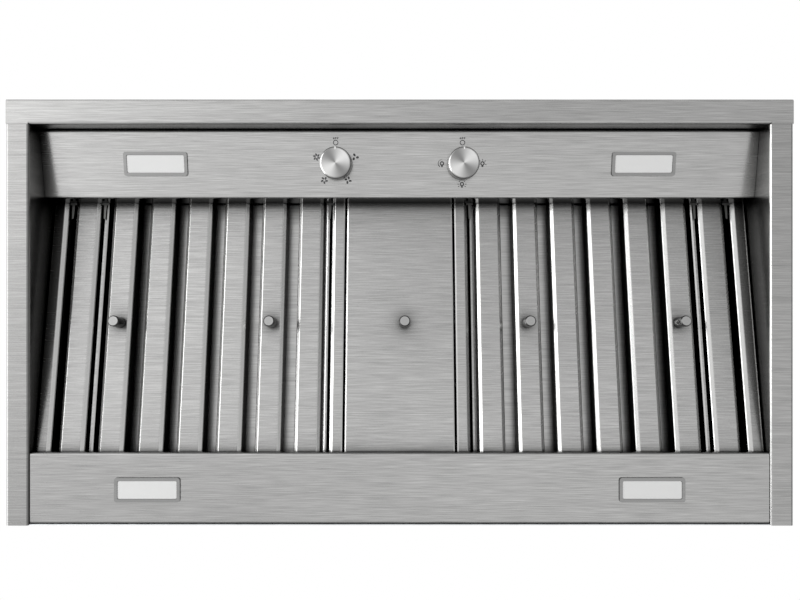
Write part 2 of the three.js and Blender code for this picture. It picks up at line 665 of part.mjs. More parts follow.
// One pressed sheet behind the front baffles: a slot over each baffle, with its long edges
// turned down into the baffle so that air has to turn twice.
function rearBaffleSheet(side, centres) {
  const slotHalf = baffleHalf - 2 * SHEET - REAR_WALL_CLEARANCE;
  const slotStart = insideStart + REAR_SHEET_BORDER;
  const slotEnd = insideEnd - REAR_SHEET_BORDER;
  const x0 = Math.min(side * frameInner, side * frameOuter) + SHEET + FIT;
  const x1 = Math.max(side * frameInner, side * frameOuter) - SHEET - FIT;
  const slots = centres.map((x) => block(x - slotHalf, x + slotHalf, slotStart, slotEnd,
    rearSheetBottom - 1, rearSheetBottom + SHEET + 1));
  const sheet = cut(block(x0, x1, insideStart, insideEnd, rearSheetBottom, rearSheetBottom + SHEET), slots);
  const walls = centres.flatMap((x) => [-1, 1].map((edge) => {
    const inner = x + edge * slotHalf;
    const outer = inner + edge * SHEET;
    return block(Math.min(inner, outer), Math.max(inner, outer), slotStart, slotEnd,
      rearSheetBottom - REAR_WALL_DROP, rearSheetBottom + SHEET / 2);
  }));
  return join([sheet, ...walls]);
}

function addFilter(word, side) {
  // From the outermost baffle, beside the fixed filler, to the one beside the centre channel.
  const centres = Array.from({ length: filterBaffles }, (_, i) => side * (outerBaffleX - i * bafflePitch));
  const outer = centres[0];
  const inner = centres[filterBaffles - 2];
  const plain = centres.filter((x) => x !== outer && x !== inner);
  add(`${word}_filter_frame`, filterFrame(side), brushed, filterGroup);
  plain.forEach((x, i) => {
    add(`${word}_filter_baffle_${i + 1}`, frontBaffle(x), brushed, filterGroup);
  });
  const handled = [['outer', outer, OUTER_HANDLE_OFFSET], ['inner', inner, INNER_HANDLE_OFFSET]];
  handled.forEach(([place, x, offset]) => {
    const handleX = x - side * offset;
    const baffle = frontBaffle(x).subtract(studHole(handleX));
    add(`${word}_filter_${place}_handle_baffle`, baffle, brushed, filterGroup);
    addHandle(`${word}_filter_${place}_handle`, handleX);
  });
  add(`${word}_filter_rear_baffle`, rearBaffleSheet(side, centres), brushed, filterGroup);
}

add('left_side_filler', sideFiller(-1), brushed, filterGroup);
add('right_side_filler', sideFiller(1), brushed, filterGroup);
add('centre_channel', centreChannel(), brushed, filterGroup);
add('centre_panel', centrePanel(), brushed, filterGroup);
addHandle('centre_panel_handle', CENTRE_HANDLE_X);
addFilter('left', -1);
addFilter('right', 1);

// --- Duct collar and back-draught damper --------------------------------------------------------

const collarBase = CASE_HEIGHT + FIT;
const ledgeTop = collarBase + DAMPER_LEDGE_HEIGHT;
const pinZ = ledgeTop + FIT + SHEET / 2;

function atDuct(solid) {
  return solid.translate([0, ductY, 0]);
}

function ductCollar() {
  const inner = ductRadius - SHEET;
  const ledge = inner - DAMPER_LEDGE;
  const ring = turned([[inner, collarBase], [ductRadius + COLLAR_FLANGE, collarBase],
    [ductRadius + COLLAR_FLANGE, collarBase + SHEET], [ductRadius, collarBase + SHEET],
    [ductRadius, collarBase + COLLAR_HEIGHT], [inner, collarBase + COLLAR_HEIGHT],
    [inner, ledgeTop], [ledge, ledgeTop], [ledge, ledgeTop - SHEET], [inner, ledgeTop - SHEET],
    [inner, collarBase]], ROUND + 8);
  const pinHole = rod(DAMPER_PIN / 2 + FIT, -DUCT_DIAMETER, DUCT_DIAMETER, 0, pinZ, SMALL_ROUND);
  return atDuct(ring.subtract(pinHole));
}

function damperPin() {
  return atDuct(rod(DAMPER_PIN / 2, -ductRadius - DAMPER_PIN_END, ductRadius + DAMPER_PIN_END, 0, pinZ,
    SMALL_ROUND));
}

// Half-round flap on the -y (front) or +y (rear) side of the pin.
function damperFlap(side, sleeves) {
  const radius = ductRadius - SHEET - DAMPER_GAP;
  const z0 = pinZ - SHEET / 2;
  const z1 = pinZ + SHEET / 2;
  const edge = side * DAMPER_HINGE_GAP;
  const spare = 2 * radius;
  const half = block(-radius, radius, Math.min(edge, side * spare), Math.max(edge, side * spare), z0, z1);
  const plate = disc(radius, z0 - 1, z1 + 1, 0, 0, ROUND + 8).intersect(half);
  const root = side * (DAMPER_SLEEVE / 2 - SHEET / 2);
  const pieces = sleeves.flatMap(([x0, x1]) => [
    rod(DAMPER_SLEEVE / 2, x0, x1, 0, pinZ, SMALL_ROUND),
    block(x0, x1, Math.min(root, 2 * edge), Math.max(root, 2 * edge), z0, z1)]);
  const bore = rod(DAMPER_PIN / 2 + FIT, -radius, radius, 0, pinZ, SMALL_ROUND);
  return atDuct(join([plate, ...pieces]).subtract(bore));
}

add('duct_collar', ductCollar(), galvanised);
add('damper_pin', damperPin(), polished);
const sleeveStart = DAMPER_SPLIT + DAMPER_SLEEVE_GAP;
add('front_damper_flap', damperFlap(-1, [[-DAMPER_SLEEVE_END, -sleeveStart],
  [sleeveStart, DAMPER_SLEEVE_END]]), galvanised);
add('rear_damper_flap', damperFlap(1, [[-DAMPER_SPLIT, DAMPER_SPLIT]]), galvanised);

// --- Blower -----------------------------------------------------------------------------------

// Side view of the scroll in (y, z) about the shaft: from the cut-off at the top, over the
// front and the bottom, and up the wall side into the outlet.
function scrollOutline(offset, top) {
  const spiral = Array.from({ length: SCROLL_STEPS + 1 }, (_, k) => {
    const share = k / SCROLL_STEPS;
    const angle = Math.PI / 2 + share * 1.5 * Math.PI;
    const radius = SCROLL_MIN + (SCROLL_MAX - SCROLL_MIN) * share + offset;
    return [radius * Math.cos(angle), radius * Math.sin(angle)];
  });
  const throat = -offset;
  return [[throat, top], ...spiral.map(([y, z], k) => [k === 0 ? throat : y, z]),
    [SCROLL_MAX + offset, top]];
}

// Folded wrap of the scroll, open at its mouth, with the flange that screws to the top plate.
function blowerScroll() {
  const half = SCROLL_WIDTH / 2 - SHEET - FIT;
  const top = CASE_TOP - scrollZ;
  const outer = sweepX(outlineShape(scrollOutline(SHEET, top)), -half, half);
  const inner = sweepX(outlineShape(scrollOutline(0, top + 1)), -half - 1, half + 1);
  const mouthHalf = SCROLL_WIDTH / 2 - SHEET;
  const flangeHalf = SCROLL_WIDTH / 2 + OUTLET_FLANGE;
  const mouth = block(-mouthHalf, mouthHalf, 0, SCROLL_MAX, top - 2 * SHEET, top + 1);
  const flange = block(-flangeHalf, flangeHalf, -SHEET - OUTLET_FLANGE,
    SCROLL_MAX + SHEET + OUTLET_FLANGE, top - SHEET, top);
  return outer.subtract(inner).add(flange.subtract(mouth)).translate([0, SCROLL_Y, scrollZ]);
}

// Side plate of the scroll with its round inlet.
function blowerPlate(side) {
  const face = side * SCROLL_WIDTH / 2;
  const back = face - side * SHEET;
  const outline = outlineShape(scrollOutline(SHEET, CASE_TOP - SHEET - FIT - scrollZ));
  const plate = sweepX(outline, Math.min(face, back), Math.max(face, back));
  return plate.subtract(rod(INLET_RADIUS, -SCROLL_WIDTH, SCROLL_WIDTH)).translate([0, SCROLL_Y, scrollZ]);
}

function impeller() {
  const half = IMPELLER_WIDTH / 2;
  const inner = IMPELLER_RADIUS - BLADE_DEPTH;
  const ringAt = (x) => rod(IMPELLER_RADIUS, x - SHEET, x + SHEET)
    .subtract(rod(inner, x - 2 * SHEET, x + 2 * SHEET));
  const blade = block(-half, half, -BLADE_DEPTH / 2, BLADE_DEPTH / 2, -SHEET / 2, SHEET / 2)
    .rotate([BLADE_ANGLE, 0, 0]).translate([0, IMPELLER_RADIUS - BLADE_SET, 0]);
  const blades = Array.from({ length: BLADE_COUNT }, (_, k) =>
    blade.rotate([(360 * k) / BLADE_COUNT, 0, 0]));
  const plate = rod(IMPELLER_RADIUS - BLADE_DEPTH / 2, -SHEET, SHEET);
  const hub = rod(HUB_RADIUS, -HUB_LENGTH / 2, HUB_LENGTH / 2, 0, 0, SMALL_ROUND);
  const shaft = rod(MOTOR_SHAFT / 2, -HUB_LENGTH / 2 - SHAFT_STUB, SCROLL_WIDTH / 2 + MOTOR_LENGTH / 2,
    0, 0, SMALL_ROUND);
  return join([plate, hub, shaft, ringAt(-half + SHEET), ringAt(half - SHEET), ...blades])
    .translate([0, SCROLL_Y, scrollZ]);
}

// Motor outside the right inlet, on a three-armed bracket that bolts to the scroll's side.
function blowerMotor() {
  const side = SCROLL_WIDTH / 2 + FIT;
  const bracket = side + 2 * SHEET;
  const body = side + 3 * SHEET;
  const ring = rod(INLET_RADIUS + MOTOR_RING, side, bracket)
    .subtract(rod(INLET_RADIUS, side - 1, bracket + 1));
  const arms = [0, 1, 2].map((k) => block(side, bracket, 0, INLET_RADIUS + MOTOR_RING / 2,
    -MOTOR_ARM / 2, MOTOR_ARM / 2)
    .rotate([90 + 120 * k, 0, 0]));
  const motor = rod(MOTOR_RADIUS, body, body + MOTOR_LENGTH);
  const boss = rod(MOTOR_BOSS_RADIUS, side, body + 1, 0, 0, SMALL_ROUND);
  const endCap = rod(MOTOR_CAP_RADIUS, body, body + MOTOR_LENGTH + MOTOR_CAP, 0, 0, SMALL_ROUND);
  const bore = rod(MOTOR_SHAFT / 2 + FIT, side - 1, side + MOTOR_LENGTH / 2 + 2 * SHEET,
    0, 0, SMALL_ROUND);
  return join([ring, ...arms, motor, boss, endCap]).subtract(bore)
    .translate([0, SCROLL_Y, scrollZ]);
}

add('blower_scroll', blowerScroll(), galvanised);
add('blower_left_plate', blowerPlate(-1), galvanised);
add('blower_right_plate', blowerPlate(1), galvanised);
add('impeller', impeller(), galvanised);
add('blower_motor', blowerMotor(), motorPaint);

// --- Electrical boxes and hanging rails ---------------------------------------------------------

// Wiring box on the top plate, with the entry for the house cable on its right side.
function junctionBox() {
  const halfX = BOX_LENGTH / 2;
  const halfY = BOX_WIDTH / 2;
  const base = CASE_HEIGHT + FIT;
  const body = block(-halfX, halfX, -halfY, halfY, base, base + BOX_HEIGHT);
  const lid = block(-halfX - BOX_LID, halfX + BOX_LID, -halfY - BOX_LID, halfY + BOX_LID,
    base + BOX_HEIGHT - BOX_LID, base + BOX_HEIGHT);
  const middle = base + BOX_HEIGHT / 2;
  const gland = rod(GLAND_DIAMETER / 2, halfX - 1, halfX + GLAND_LENGTH, 0, middle, SMALL_ROUND);
  const bore = rod(GLAND_BORE / 2, halfX - SHEET, halfX + GLAND_LENGTH + 1, 0, middle, SMALL_ROUND);
  return join([body, lid, gland]).subtract(bore).translate([boxX, boxY, 0]);
}

// Lamp driver hung under the top plate by two ears.
function lampDriver() {
  const halfX = DRIVER_LENGTH / 2;
  const halfY = DRIVER_WIDTH / 2;
  const top = CASE_HEIGHT - SHEET - FIT;
  const body = block(-halfX, halfX, -halfY, halfY, top - DRIVER_HEIGHT, top);
  const ears = block(-halfX - DRIVER_EAR, halfX + DRIVER_EAR, -halfY / 2, halfY / 2, top - 2 * SHEET, top);
  const holes = [-1, 1].map((side) =>
    disc(DRIVER_SCREW / 2, top - 3 * SHEET, top + 1, side * (halfX + DRIVER_EAR / 2), 0, SMALL_ROUND));
  return cut(body.add(ears), holes).translate([driverX, driverY, 0]);
}

// Angle on the top plate with slots for the screws into the cabinet.
function hangingRail(side) {
  const base = CASE_HEIGHT + FIT;
  const outer = side * railX;
  const profile = foldedSheet([[outer - side * RAIL_LEG, base], [outer, base],
    [outer, base + RAIL_LEG]], side * SHEET);
  const step = RAIL_LENGTH / RAIL_SLOTS;
  const slots = Array.from({ length: RAIL_SLOTS }, (_, i) => {
    const y = (i - (RAIL_SLOTS - 1) / 2) * step;
    return block(outer - 4 * SHEET, outer + 4 * SHEET, y - RAIL_SLOT / 2, y + RAIL_SLOT / 2,
      base + RAIL_SLOT_HEIGHT - RAIL_SLOT_WIDTH / 2, base + RAIL_SLOT_HEIGHT + RAIL_SLOT_WIDTH / 2);
  });
  return cut(sweepY(profile, -RAIL_LENGTH / 2, RAIL_LENGTH / 2), slots);
}

add('junction_box', junctionBox(), galvanised);
add('lamp_driver', lampDriver(), moulded);
add('left_hanging_rail', hangingRail(-1), galvanised);
add('right_hanging_rail', hangingRail(1), galvanised);

export default hood;
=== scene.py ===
"""Looks of the range hood insert: brushed steel, knobs, marks, lamps and fasteners.

Metres, +Z up. The camera lies under the open side and looks up, as the photograph does.
"""

import json
import math

import bpy
import bmesh
from mathutils import Matrix, Vector


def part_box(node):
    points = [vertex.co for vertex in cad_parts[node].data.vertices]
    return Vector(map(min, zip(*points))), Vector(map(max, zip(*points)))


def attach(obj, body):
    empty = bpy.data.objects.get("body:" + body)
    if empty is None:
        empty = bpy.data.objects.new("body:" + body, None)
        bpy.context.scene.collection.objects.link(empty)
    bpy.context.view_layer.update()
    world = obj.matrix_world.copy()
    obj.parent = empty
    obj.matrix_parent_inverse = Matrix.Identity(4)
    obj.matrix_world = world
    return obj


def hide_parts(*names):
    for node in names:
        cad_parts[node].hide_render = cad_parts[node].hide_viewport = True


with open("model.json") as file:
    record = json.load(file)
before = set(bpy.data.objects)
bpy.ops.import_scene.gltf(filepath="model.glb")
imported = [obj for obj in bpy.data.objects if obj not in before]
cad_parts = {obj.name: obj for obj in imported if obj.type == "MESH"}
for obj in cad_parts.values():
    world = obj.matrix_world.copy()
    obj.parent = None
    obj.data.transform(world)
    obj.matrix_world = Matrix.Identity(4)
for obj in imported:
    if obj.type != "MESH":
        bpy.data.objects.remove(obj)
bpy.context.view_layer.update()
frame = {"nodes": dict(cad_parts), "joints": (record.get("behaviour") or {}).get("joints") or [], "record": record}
nodes = frame["nodes"]
joints = {j["name"]: j for j in frame["joints"]}
scene = bpy.context.scene

MM = 0.001
PHOTO_WIDTH = 800
FOCAL_PIXELS = 600
SENSOR_WIDTH = 36
CAMERA_DEPTH = 0.696
CAMERA_SHIFT = (0.0004, 0.01525)
FLOOR_Z = -1.6

# --- Camera -----------------------------------------------------------------------------------

camera_data = bpy.data.cameras.new("camera")
camera_data.sensor_width = SENSOR_WIDTH
camera_data.lens = SENSOR_WIDTH * FOCAL_PIXELS / PHOTO_WIDTH
camera_data.shift_x, camera_data.shift_y = CAMERA_SHIFT
camera_data.clip_start = 0.01
camera = bpy.data.objects.new("camera", camera_data)
camera.location = (0, 0, -CAMERA_DEPTH)
camera.rotation_euler = (math.pi, 0, 0)
scene.collection.objects.link(camera)
scene.camera = camera
scene.view_settings.view_transform = "Standard"

# --- Places worked out from the frame ---------------------------------------------------------

KNOB_JOINTS = {"fan": "fan_knob_turn", "light": "light_knob_turn"}
RIGHT = Vector((1, 0, 0))
knob_axis = Vector(joints["fan_knob_turn"]["axis"])
knob_foot = {name: Vector(joints[joint]["pos_m"]) for name, joint in KNOB_JOINTS.items()}
panel_up = RIGHT.cross(knob_axis)  # towards the cook, along the panel
filter_forward = Vector(joints["left_filter_slide"]["axis"])
filter_out = RIGHT.cross(filter_forward)  # square to the filters, towards the cook


def basis(right, up, out, origin):
    """A matrix whose x, y and z run along right, up and out."""
    matrix = Matrix((right, up, out)).transposed().to_4x4()
    matrix.translation = origin
    return matrix


def panel_matrix(origin):
    """Plane on the control panel as the cook reads it: x right, y off the filters, z out."""
    return basis(RIGHT, panel_up, -knob_axis, origin)


# --- Node helpers -----------------------------------------------------------------------------


class Shader:
    """A material's node tree with short calls for the nodes that the finishes share."""

    def __init__(self, name):
        self.material = bpy.data.materials.new(name)
        self.material.use_nodes = True
        self.tree = self.material.node_tree
        self.surface = self.tree.nodes["Principled BSDF"]

    def node(self, kind, **settings):
        made = self.tree.nodes.new(kind)
        for key, value in settings.items():
            setattr(made, key, value)
        return made

    def link(self, source, target):
        self.tree.links.new(source, target)

    def put(self, socket, value):
        if isinstance(value, bpy.types.NodeSocket):
            self.link(value, socket)
        else:
            socket.default_value = value

    def maths(self, operation, first, second=0.0):
        made = self.node("ShaderNodeMath", operation=operation)
        self.put(made.inputs[0], first)
        self.put(made.inputs[1], second)
        return made.outputs[0]

    def times(self, first, second):
        return self.maths("MULTIPLY", first, second)

    def plus(self, first, second):
        return self.maths("ADD", first, second)

    def mixed(self, factor, first, second):
        """first where factor is 0, second where it is 1, for plain numbers."""
        made = self.node("ShaderNodeMix", data_type="FLOAT")
        self.put(made.inputs[0], factor)
        self.put(made.inputs[2], first)
        self.put(made.inputs[3], second)
        return made.outputs[0]

    def noise(self, vector, scale, detail=2.0):
        made = self.node("ShaderNodeTexNoise")
        made.inputs["Scale"].default_value = scale
        made.inputs["Detail"].default_value = detail
        self.link(vector, made.inputs["Vector"])
        return made.outputs["Fac"]

    def spread(self, value, low, high):
        """Stretches a noise value from around its middle to low..high."""
        made = self.node("ShaderNodeMapRange")
        made.inputs["From Min"].default_value = 0.25
        made.inputs["From Max"].default_value = 0.75
        made.inputs["To Min"].default_value = low
        made.inputs["To Max"].default_value = high
        self.link(value, made.inputs["Value"])
        return made.outputs["Result"]

    def vector(self, x, y, z=0.0):
        made = self.node("ShaderNodeCombineXYZ")
        for socket, value in zip(made.inputs, (x, y, z)):
            self.put(socket, value)
        return made.outputs[0]

    def tinted(self, colour, factor):
        """The colour multiplied by a number."""
        made = self.node("ShaderNodeVectorMath", operation="SCALE")
        made.inputs[0].default_value = colour
        self.put(made.inputs["Scale"], factor)
        return made.outputs[0]

    def bump(self, height, strength, distance):
        made = self.node("ShaderNodeBump")
        made.inputs["Strength"].default_value = strength
        made.inputs["Distance"].default_value = distance
        self.link(height, made.inputs["Height"])
        return made.outputs["Normal"]

    def painted_occlusion(self, reach, power):
        """Painted shade: 1 on a free face, and towards 0 deep in a joint, where other faces lie near."""
        made = self.node("ShaderNodeAmbientOcclusion", samples=6)
        made.inputs["Distance"].default_value = reach
        return self.maths("POWER", made.outputs["AO"], power)

    def ramp(self, value, low, high):
        """0 below low and 1 above high, smooth between them."""
        made = self.node("ShaderNodeMapRange", interpolation_type="SMOOTHSTEP")
        made.inputs["From Min"].default_value = low
        made.inputs["From Max"].default_value = high
        self.link(value, made.inputs["Value"])
        return made.outputs["Result"]

    def set(self, **values):
        for key, value in values.items():
            self.put(self.surface.inputs[key.replace("_", " ")], value)


# --- Finishes ---------------------------------------------------------------------------------

STEEL = (0.385, 0.384, 0.380)
# painted shade: the side panels' copy of STEEL, darker for how the light falls on them
SHADED_SIDE_STEEL = (0.325, 0.324, 0.32)
FRONT_STEEL = (0.37, 0.369, 0.365)
STRIP_STEEL = (0.355, 0.354, 0.35)
# painted light: the rear baffles' copy of STEEL, lighter where they show at the back of the slots
LIT_REAR_BAFFLE_STEEL = (0.4, 0.399, 0.395)
BEZEL_STEEL = (0.26, 0.26, 0.258)
HANDLE_STEEL = (0.35, 0.35, 0.347)
KNOB_STEEL = (0.43, 0.429, 0.426)
SCREW_STEEL = (0.5, 0.5, 0.5)
CLIP_STEEL = (0.1, 0.1, 0.098)
ZINC = (0.47, 0.485, 0.495)
SPANGLES = 90  # to the metre
OPAL = (0.24, 0.242, 0.24)
PAINTED_LENS_GLOW = 0.42
BLACK = (0.028, 0.028, 0.03)
MOTOR_PAINT = (0.045, 0.048, 0.052)
INK = (0.04, 0.04, 0.042)
INDEX_WHITE = (0.72, 0.72, 0.71)
# where the painted bright sectors on a knob's face point
PAINTED_FAN_ANGLE = math.radians(40)
PAINTED_FAN_CONTRAST = 0.5
GROOVES = (3800, 0.35)  # noise cells to the metre outwards, and to the radian round
BAR_SIDES = (0.14, 1.1, 9.0)  # painted shade, painted highlight and its sharpness on a turned side
KNOB_SIDES = (0.42, 0.9, 2.5)
END_FACE = (0.75, 0.97)  # from side to end, as how far a face looks along the axis
GLINT_POWER = 30.0
GRAIN = (26, 950)  # fine scratches: noise cells to the metre, along and across
BROAD_GRAIN = (7, 160)
BROAD_OFFSET = 3.7  # keeps the broad grain apart from the fine one
BROAD_STREAKS = 0.06
CLOUD = 5.0
CLOUD_STREAKS = 0.03
GLOSS_STREAKS = 0.04
SIDEWAYS = 0.85  # a face that looks this far to the side has its grain upright
STEEP = (0.8, 0.95)  # from steep to level, as how far a face looks up or down
PANEL_STEEP = (0.9, 0.98)
BAY_STEEP = (0.55, 0.72)
LEVEL = (0.9, 0.97)
FOLDED = (0.95, 0.99)  # from round to flat
INWARD = (0.6, 0.85)
REARWARD = (0.6, 0.9)
JOINT_REACH = 45 * MM  # how near other faces cast painted shade on a steep one
BAY_REACH = 160 * MM  # the same for a level one
FOOT_REACH = 12 * MM  # and for the foot of a face towards the wall
FOOT_POWER = 1.5
REAR_ROUGHNESS = 0.1
SLOPE_GRAIN = 0.8  # how far a rolled slope loses its grain
SLOPE_SHADE = 1.12
WELD_PITCH = 70 * MM
WELD_RADIUS = 3 * MM
WELD_SHADE = 0.8
WELD_DEPTH = 11 * MM  # the row's middle, below the underside of the top plate


def sheet_directions(shader):
    """How far a point lies along and across the grain, which runs along X, and up side walls."""
    coordinates = shader.node("ShaderNodeTexCoord")
    place = shader.node("ShaderNodeSeparateXYZ")
    facing = shader.node("ShaderNodeSeparateXYZ")
    shader.link(coordinates.outputs["Object"], place.inputs[0])
    shader.link(coordinates.outputs["Normal"], facing.inputs[0])
    x, y, z = place.outputs
    lean = shader.maths("ABSOLUTE", facing.outputs[0])
    sideways = shader.maths("GREATER_THAN", lean, SIDEWAYS)
    along = shader.mixed(sideways, x, z)
    across = shader.mixed(sideways, shader.plus(y, z), y)
    return coordinates.outputs["Object"], along, across, sideways, facing


def weld_dots(shader, position, height):
    """Spot welds along the casing's top fold: 0 on each dot and 1 beside it."""
    place = shader.node("ShaderNodeSeparateXYZ")
    shader.link(position, place.inputs[0])
    x, y, z = place.outputs
    share = shader.maths("FRACT", shader.maths("DIVIDE", shader.plus(x, y), WELD_PITCH))
    along = shader.times(shader.maths("SUBTRACT", share, 0.5), WELD_PITCH)
    away = shader.node("ShaderNodeVectorMath", operation="LENGTH")
    shader.link(shader.vector(along, shader.maths("SUBTRACT", z, height)), away.inputs[0])
    return shader.ramp(away.outputs["Value"], 0.6 * WELD_RADIUS, WELD_RADIUS)


def brushed_steel(
    name, colour, roughness=0.25, streaks=0.21, gap=1.3, level_gap=0.0, steep=STEEP,
    rear=1.0, fold=1.0, edge=1.0, wall=None, welds=None,
):
    """Long-grain brushed sheet: fine and broad streaks in its colour and gloss, and a groove bump.

    gap        power of the painted shade that darkens steep faces in joints
    level_gap  the same painted shade for level faces, with the slopes between them smoother than the rest
    rear       share of the colour on faces towards the wall, a painted shade, deeper at their foot
    fold       share of it on round folds, a painted shade
    edge       tint of what a face mirrors at a glancing angle
    wall       side, share and roughness of the walls that face to that side; the share is painted light
    welds      height of a row of spot welds
    """
    shader = Shader(name)
    position, along, across, sideways, facing = sheet_directions(shader)
    facing_x, facing_y, facing_z = facing.outputs
    rearward = shader.ramp(facing_y, *REARWARD)
    downward = shader.maths("ABSOLUTE", facing_z)
    cells = [shader.times(way, scale) for way, scale in zip((along, across), GRAIN)]
    fine = shader.noise(shader.vector(*cells), 1.0, 3.0)
    cells = [shader.times(way, scale) for way, scale in zip((along, across), BROAD_GRAIN)]
    broad = shader.noise(shader.vector(*cells, BROAD_OFFSET), 1.0)
    cloud = shader.noise(position, CLOUD, 1.0)
    shade = shader.spread(fine, 1 - streaks, 1 + streaks)
    shade = shader.plus(shade, shader.spread(broad, -BROAD_STREAKS, BROAD_STREAKS))
    shade = shader.plus(shade, shader.spread(cloud, -CLOUD_STREAKS, CLOUD_STREAKS))
    gloss = shader.spread(fine, roughness + GLOSS_STREAKS, roughness - GLOSS_STREAKS)
    height = fine

    # The shares scale the colour: painted shade in joints, on level faces, on round folds and on faces towards the
    # wall, painted light on inner walls, and the weld dots.
    shares = [shader.mixed(shader.ramp(downward, *steep), shader.painted_occlusion(JOINT_REACH, gap), 1.0)]
    if level_gap:
        level = shader.ramp(downward, *LEVEL)
        shares.append(shader.mixed(level, 1.0, shader.painted_occlusion(BAY_REACH, level_gap)))
        shade = shader.mixed(level, shader.mixed(SLOPE_GRAIN, shade, SLOPE_SHADE), shade)
    # painted shade on round folds
    if fold != 1.0:
        flat = shader.maths("MAXIMUM", shader.ramp(downward, *FOLDED), sideways)
        shares.append(shader.mixed(flat, fold, 1.0))
    # painted light on the walls that face the given side
    if wall is not None:
        side, wall_share, wall_roughness = wall
        inward = shader.ramp(shader.times(facing_x, side), *INWARD)
        shares.append(shader.mixed(inward, 1.0, wall_share))
        gloss = shader.mixed(inward, gloss, wall_roughness)
    # painted shade on faces towards the wall, deepest at their foot
    if rear != 1.0:
        rear_share = shader.times(shader.painted_occlusion(FOOT_REACH, FOOT_POWER), rear)
        shares.append(shader.mixed(rearward, 1.0, rear_share))
        gloss = shader.mixed(rearward, gloss, REAR_ROUGHNESS)
    if welds is not None:
        dots = weld_dots(shader, position, welds)
        shares.append(shader.mixed(dots, WELD_SHADE, 1.0))
        height = shader.times(fine, dots)
    for share in shares:
        shade = shader.times(shade, share)

    tangent = shader.node("ShaderNodeVectorMath", operation="CROSS_PRODUCT")
    geometry = shader.node("ShaderNodeNewGeometry")
    shader.link(geometry.outputs["Normal"], tangent.inputs[0])
    upright = shader.maths("SUBTRACT", 1.0, sideways)
    shader.link(shader.vector(upright, 0.0, sideways), tangent.inputs[1])
    shader.set(Base_Color=shader.tinted(colour, shade), Roughness=gloss)
    shader.set(Metallic=1.0, Anisotropic=0.5, Specular_Tint=(edge, edge, edge, 1.0))
    shader.link(tangent.outputs[0], shader.surface.inputs["Tangent"])
    shader.link(shader.bump(height, 0.06, 0.00012), shader.surface.inputs["Normal"])
    return shader.material


def galvanised(name):
    """Zinc-coated sheet: dull, with large soft spangles and a few handling marks."""
    shader = Shader(name)
    position = shader.node("ShaderNodeTexCoord").outputs["Object"]
    cells = shader.node("ShaderNodeTexVoronoi", feature="F1")
    cells.inputs["Scale"].default_value = SPANGLES
    cells.inputs["Randomness"].default_value = 1.0
    shader.link(position, cells.inputs["Vector"])
    spangle = shader.node("ShaderNodeSeparateColor")
    shader.link(cells.outputs["Color"], spangle.inputs[0])
    cloud = shader.noise(position, 7.0, 4.0)
    shade = shader.plus(shader.times(spangle.outputs[0], 0.16), shader.spread(cloud, 0.82, 1.02))
    gloss = shader.plus(shader.times(spangle.outputs[1], 0.12), 0.38)
    shader.set(Base_Color=shader.tinted(ZINC, shade), Metallic=1.0, Roughness=gloss)
    shader.link(shader.bump(cloud, 0.15, 0.0004), shader.surface.inputs["Normal"])
    return shader.material


def turned_sides(shader, facing, low, high, power):
    """Painted shade on a turned piece away from its end face, with a painted highlight to the left and a glint to
    the right.
    """
    x, y, z = facing.outputs
    left = shader.maths("POWER", shader.maths("MAXIMUM", shader.times(x, -1.0), 0.0), power)
    glint = shader.maths("POWER", shader.maths("MAXIMUM", x, 0.0), GLINT_POWER)
    bright = shader.plus(shader.times(left, high), shader.times(glint, 0.5 * low))
    return shader.mixed(shader.ramp(z, *END_FACE), shader.plus(low, bright), 1.0)


def turned_steel(name, colour, roughness, painted_side_light=True):
    """Turned bar: fine rings round the piece's own axis, and if asked, painted light and shade on its sides."""
    shader = Shader(name)
    coordinates = shader.node("ShaderNodeTexCoord")
    position = coordinates.outputs["Object"]
    rings = shader.noise(position, 900.0, 2.0)
    cloud = shader.noise(position, 60.0, 2.0)
    shade = shader.plus(shader.spread(rings, 0.95, 1.05), shader.spread(cloud, -0.04, 0.04))
    if painted_side_light:
        facing = shader.node("ShaderNodeSeparateXYZ")
        shader.link(coordinates.outputs["Normal"], facing.inputs[0])
        shade = shader.times(shade, turned_sides(shader, facing, *BAR_SIDES))
    gloss = shader.spread(cloud, roughness, roughness + 0.06)
    shader.set(Base_Color=shader.tinted(colour, shade), Metallic=1.0, Roughness=gloss)
    shader.link(shader.bump(rings, 0.06, 0.0001), shader.surface.inputs["Normal"])
    return shader.material


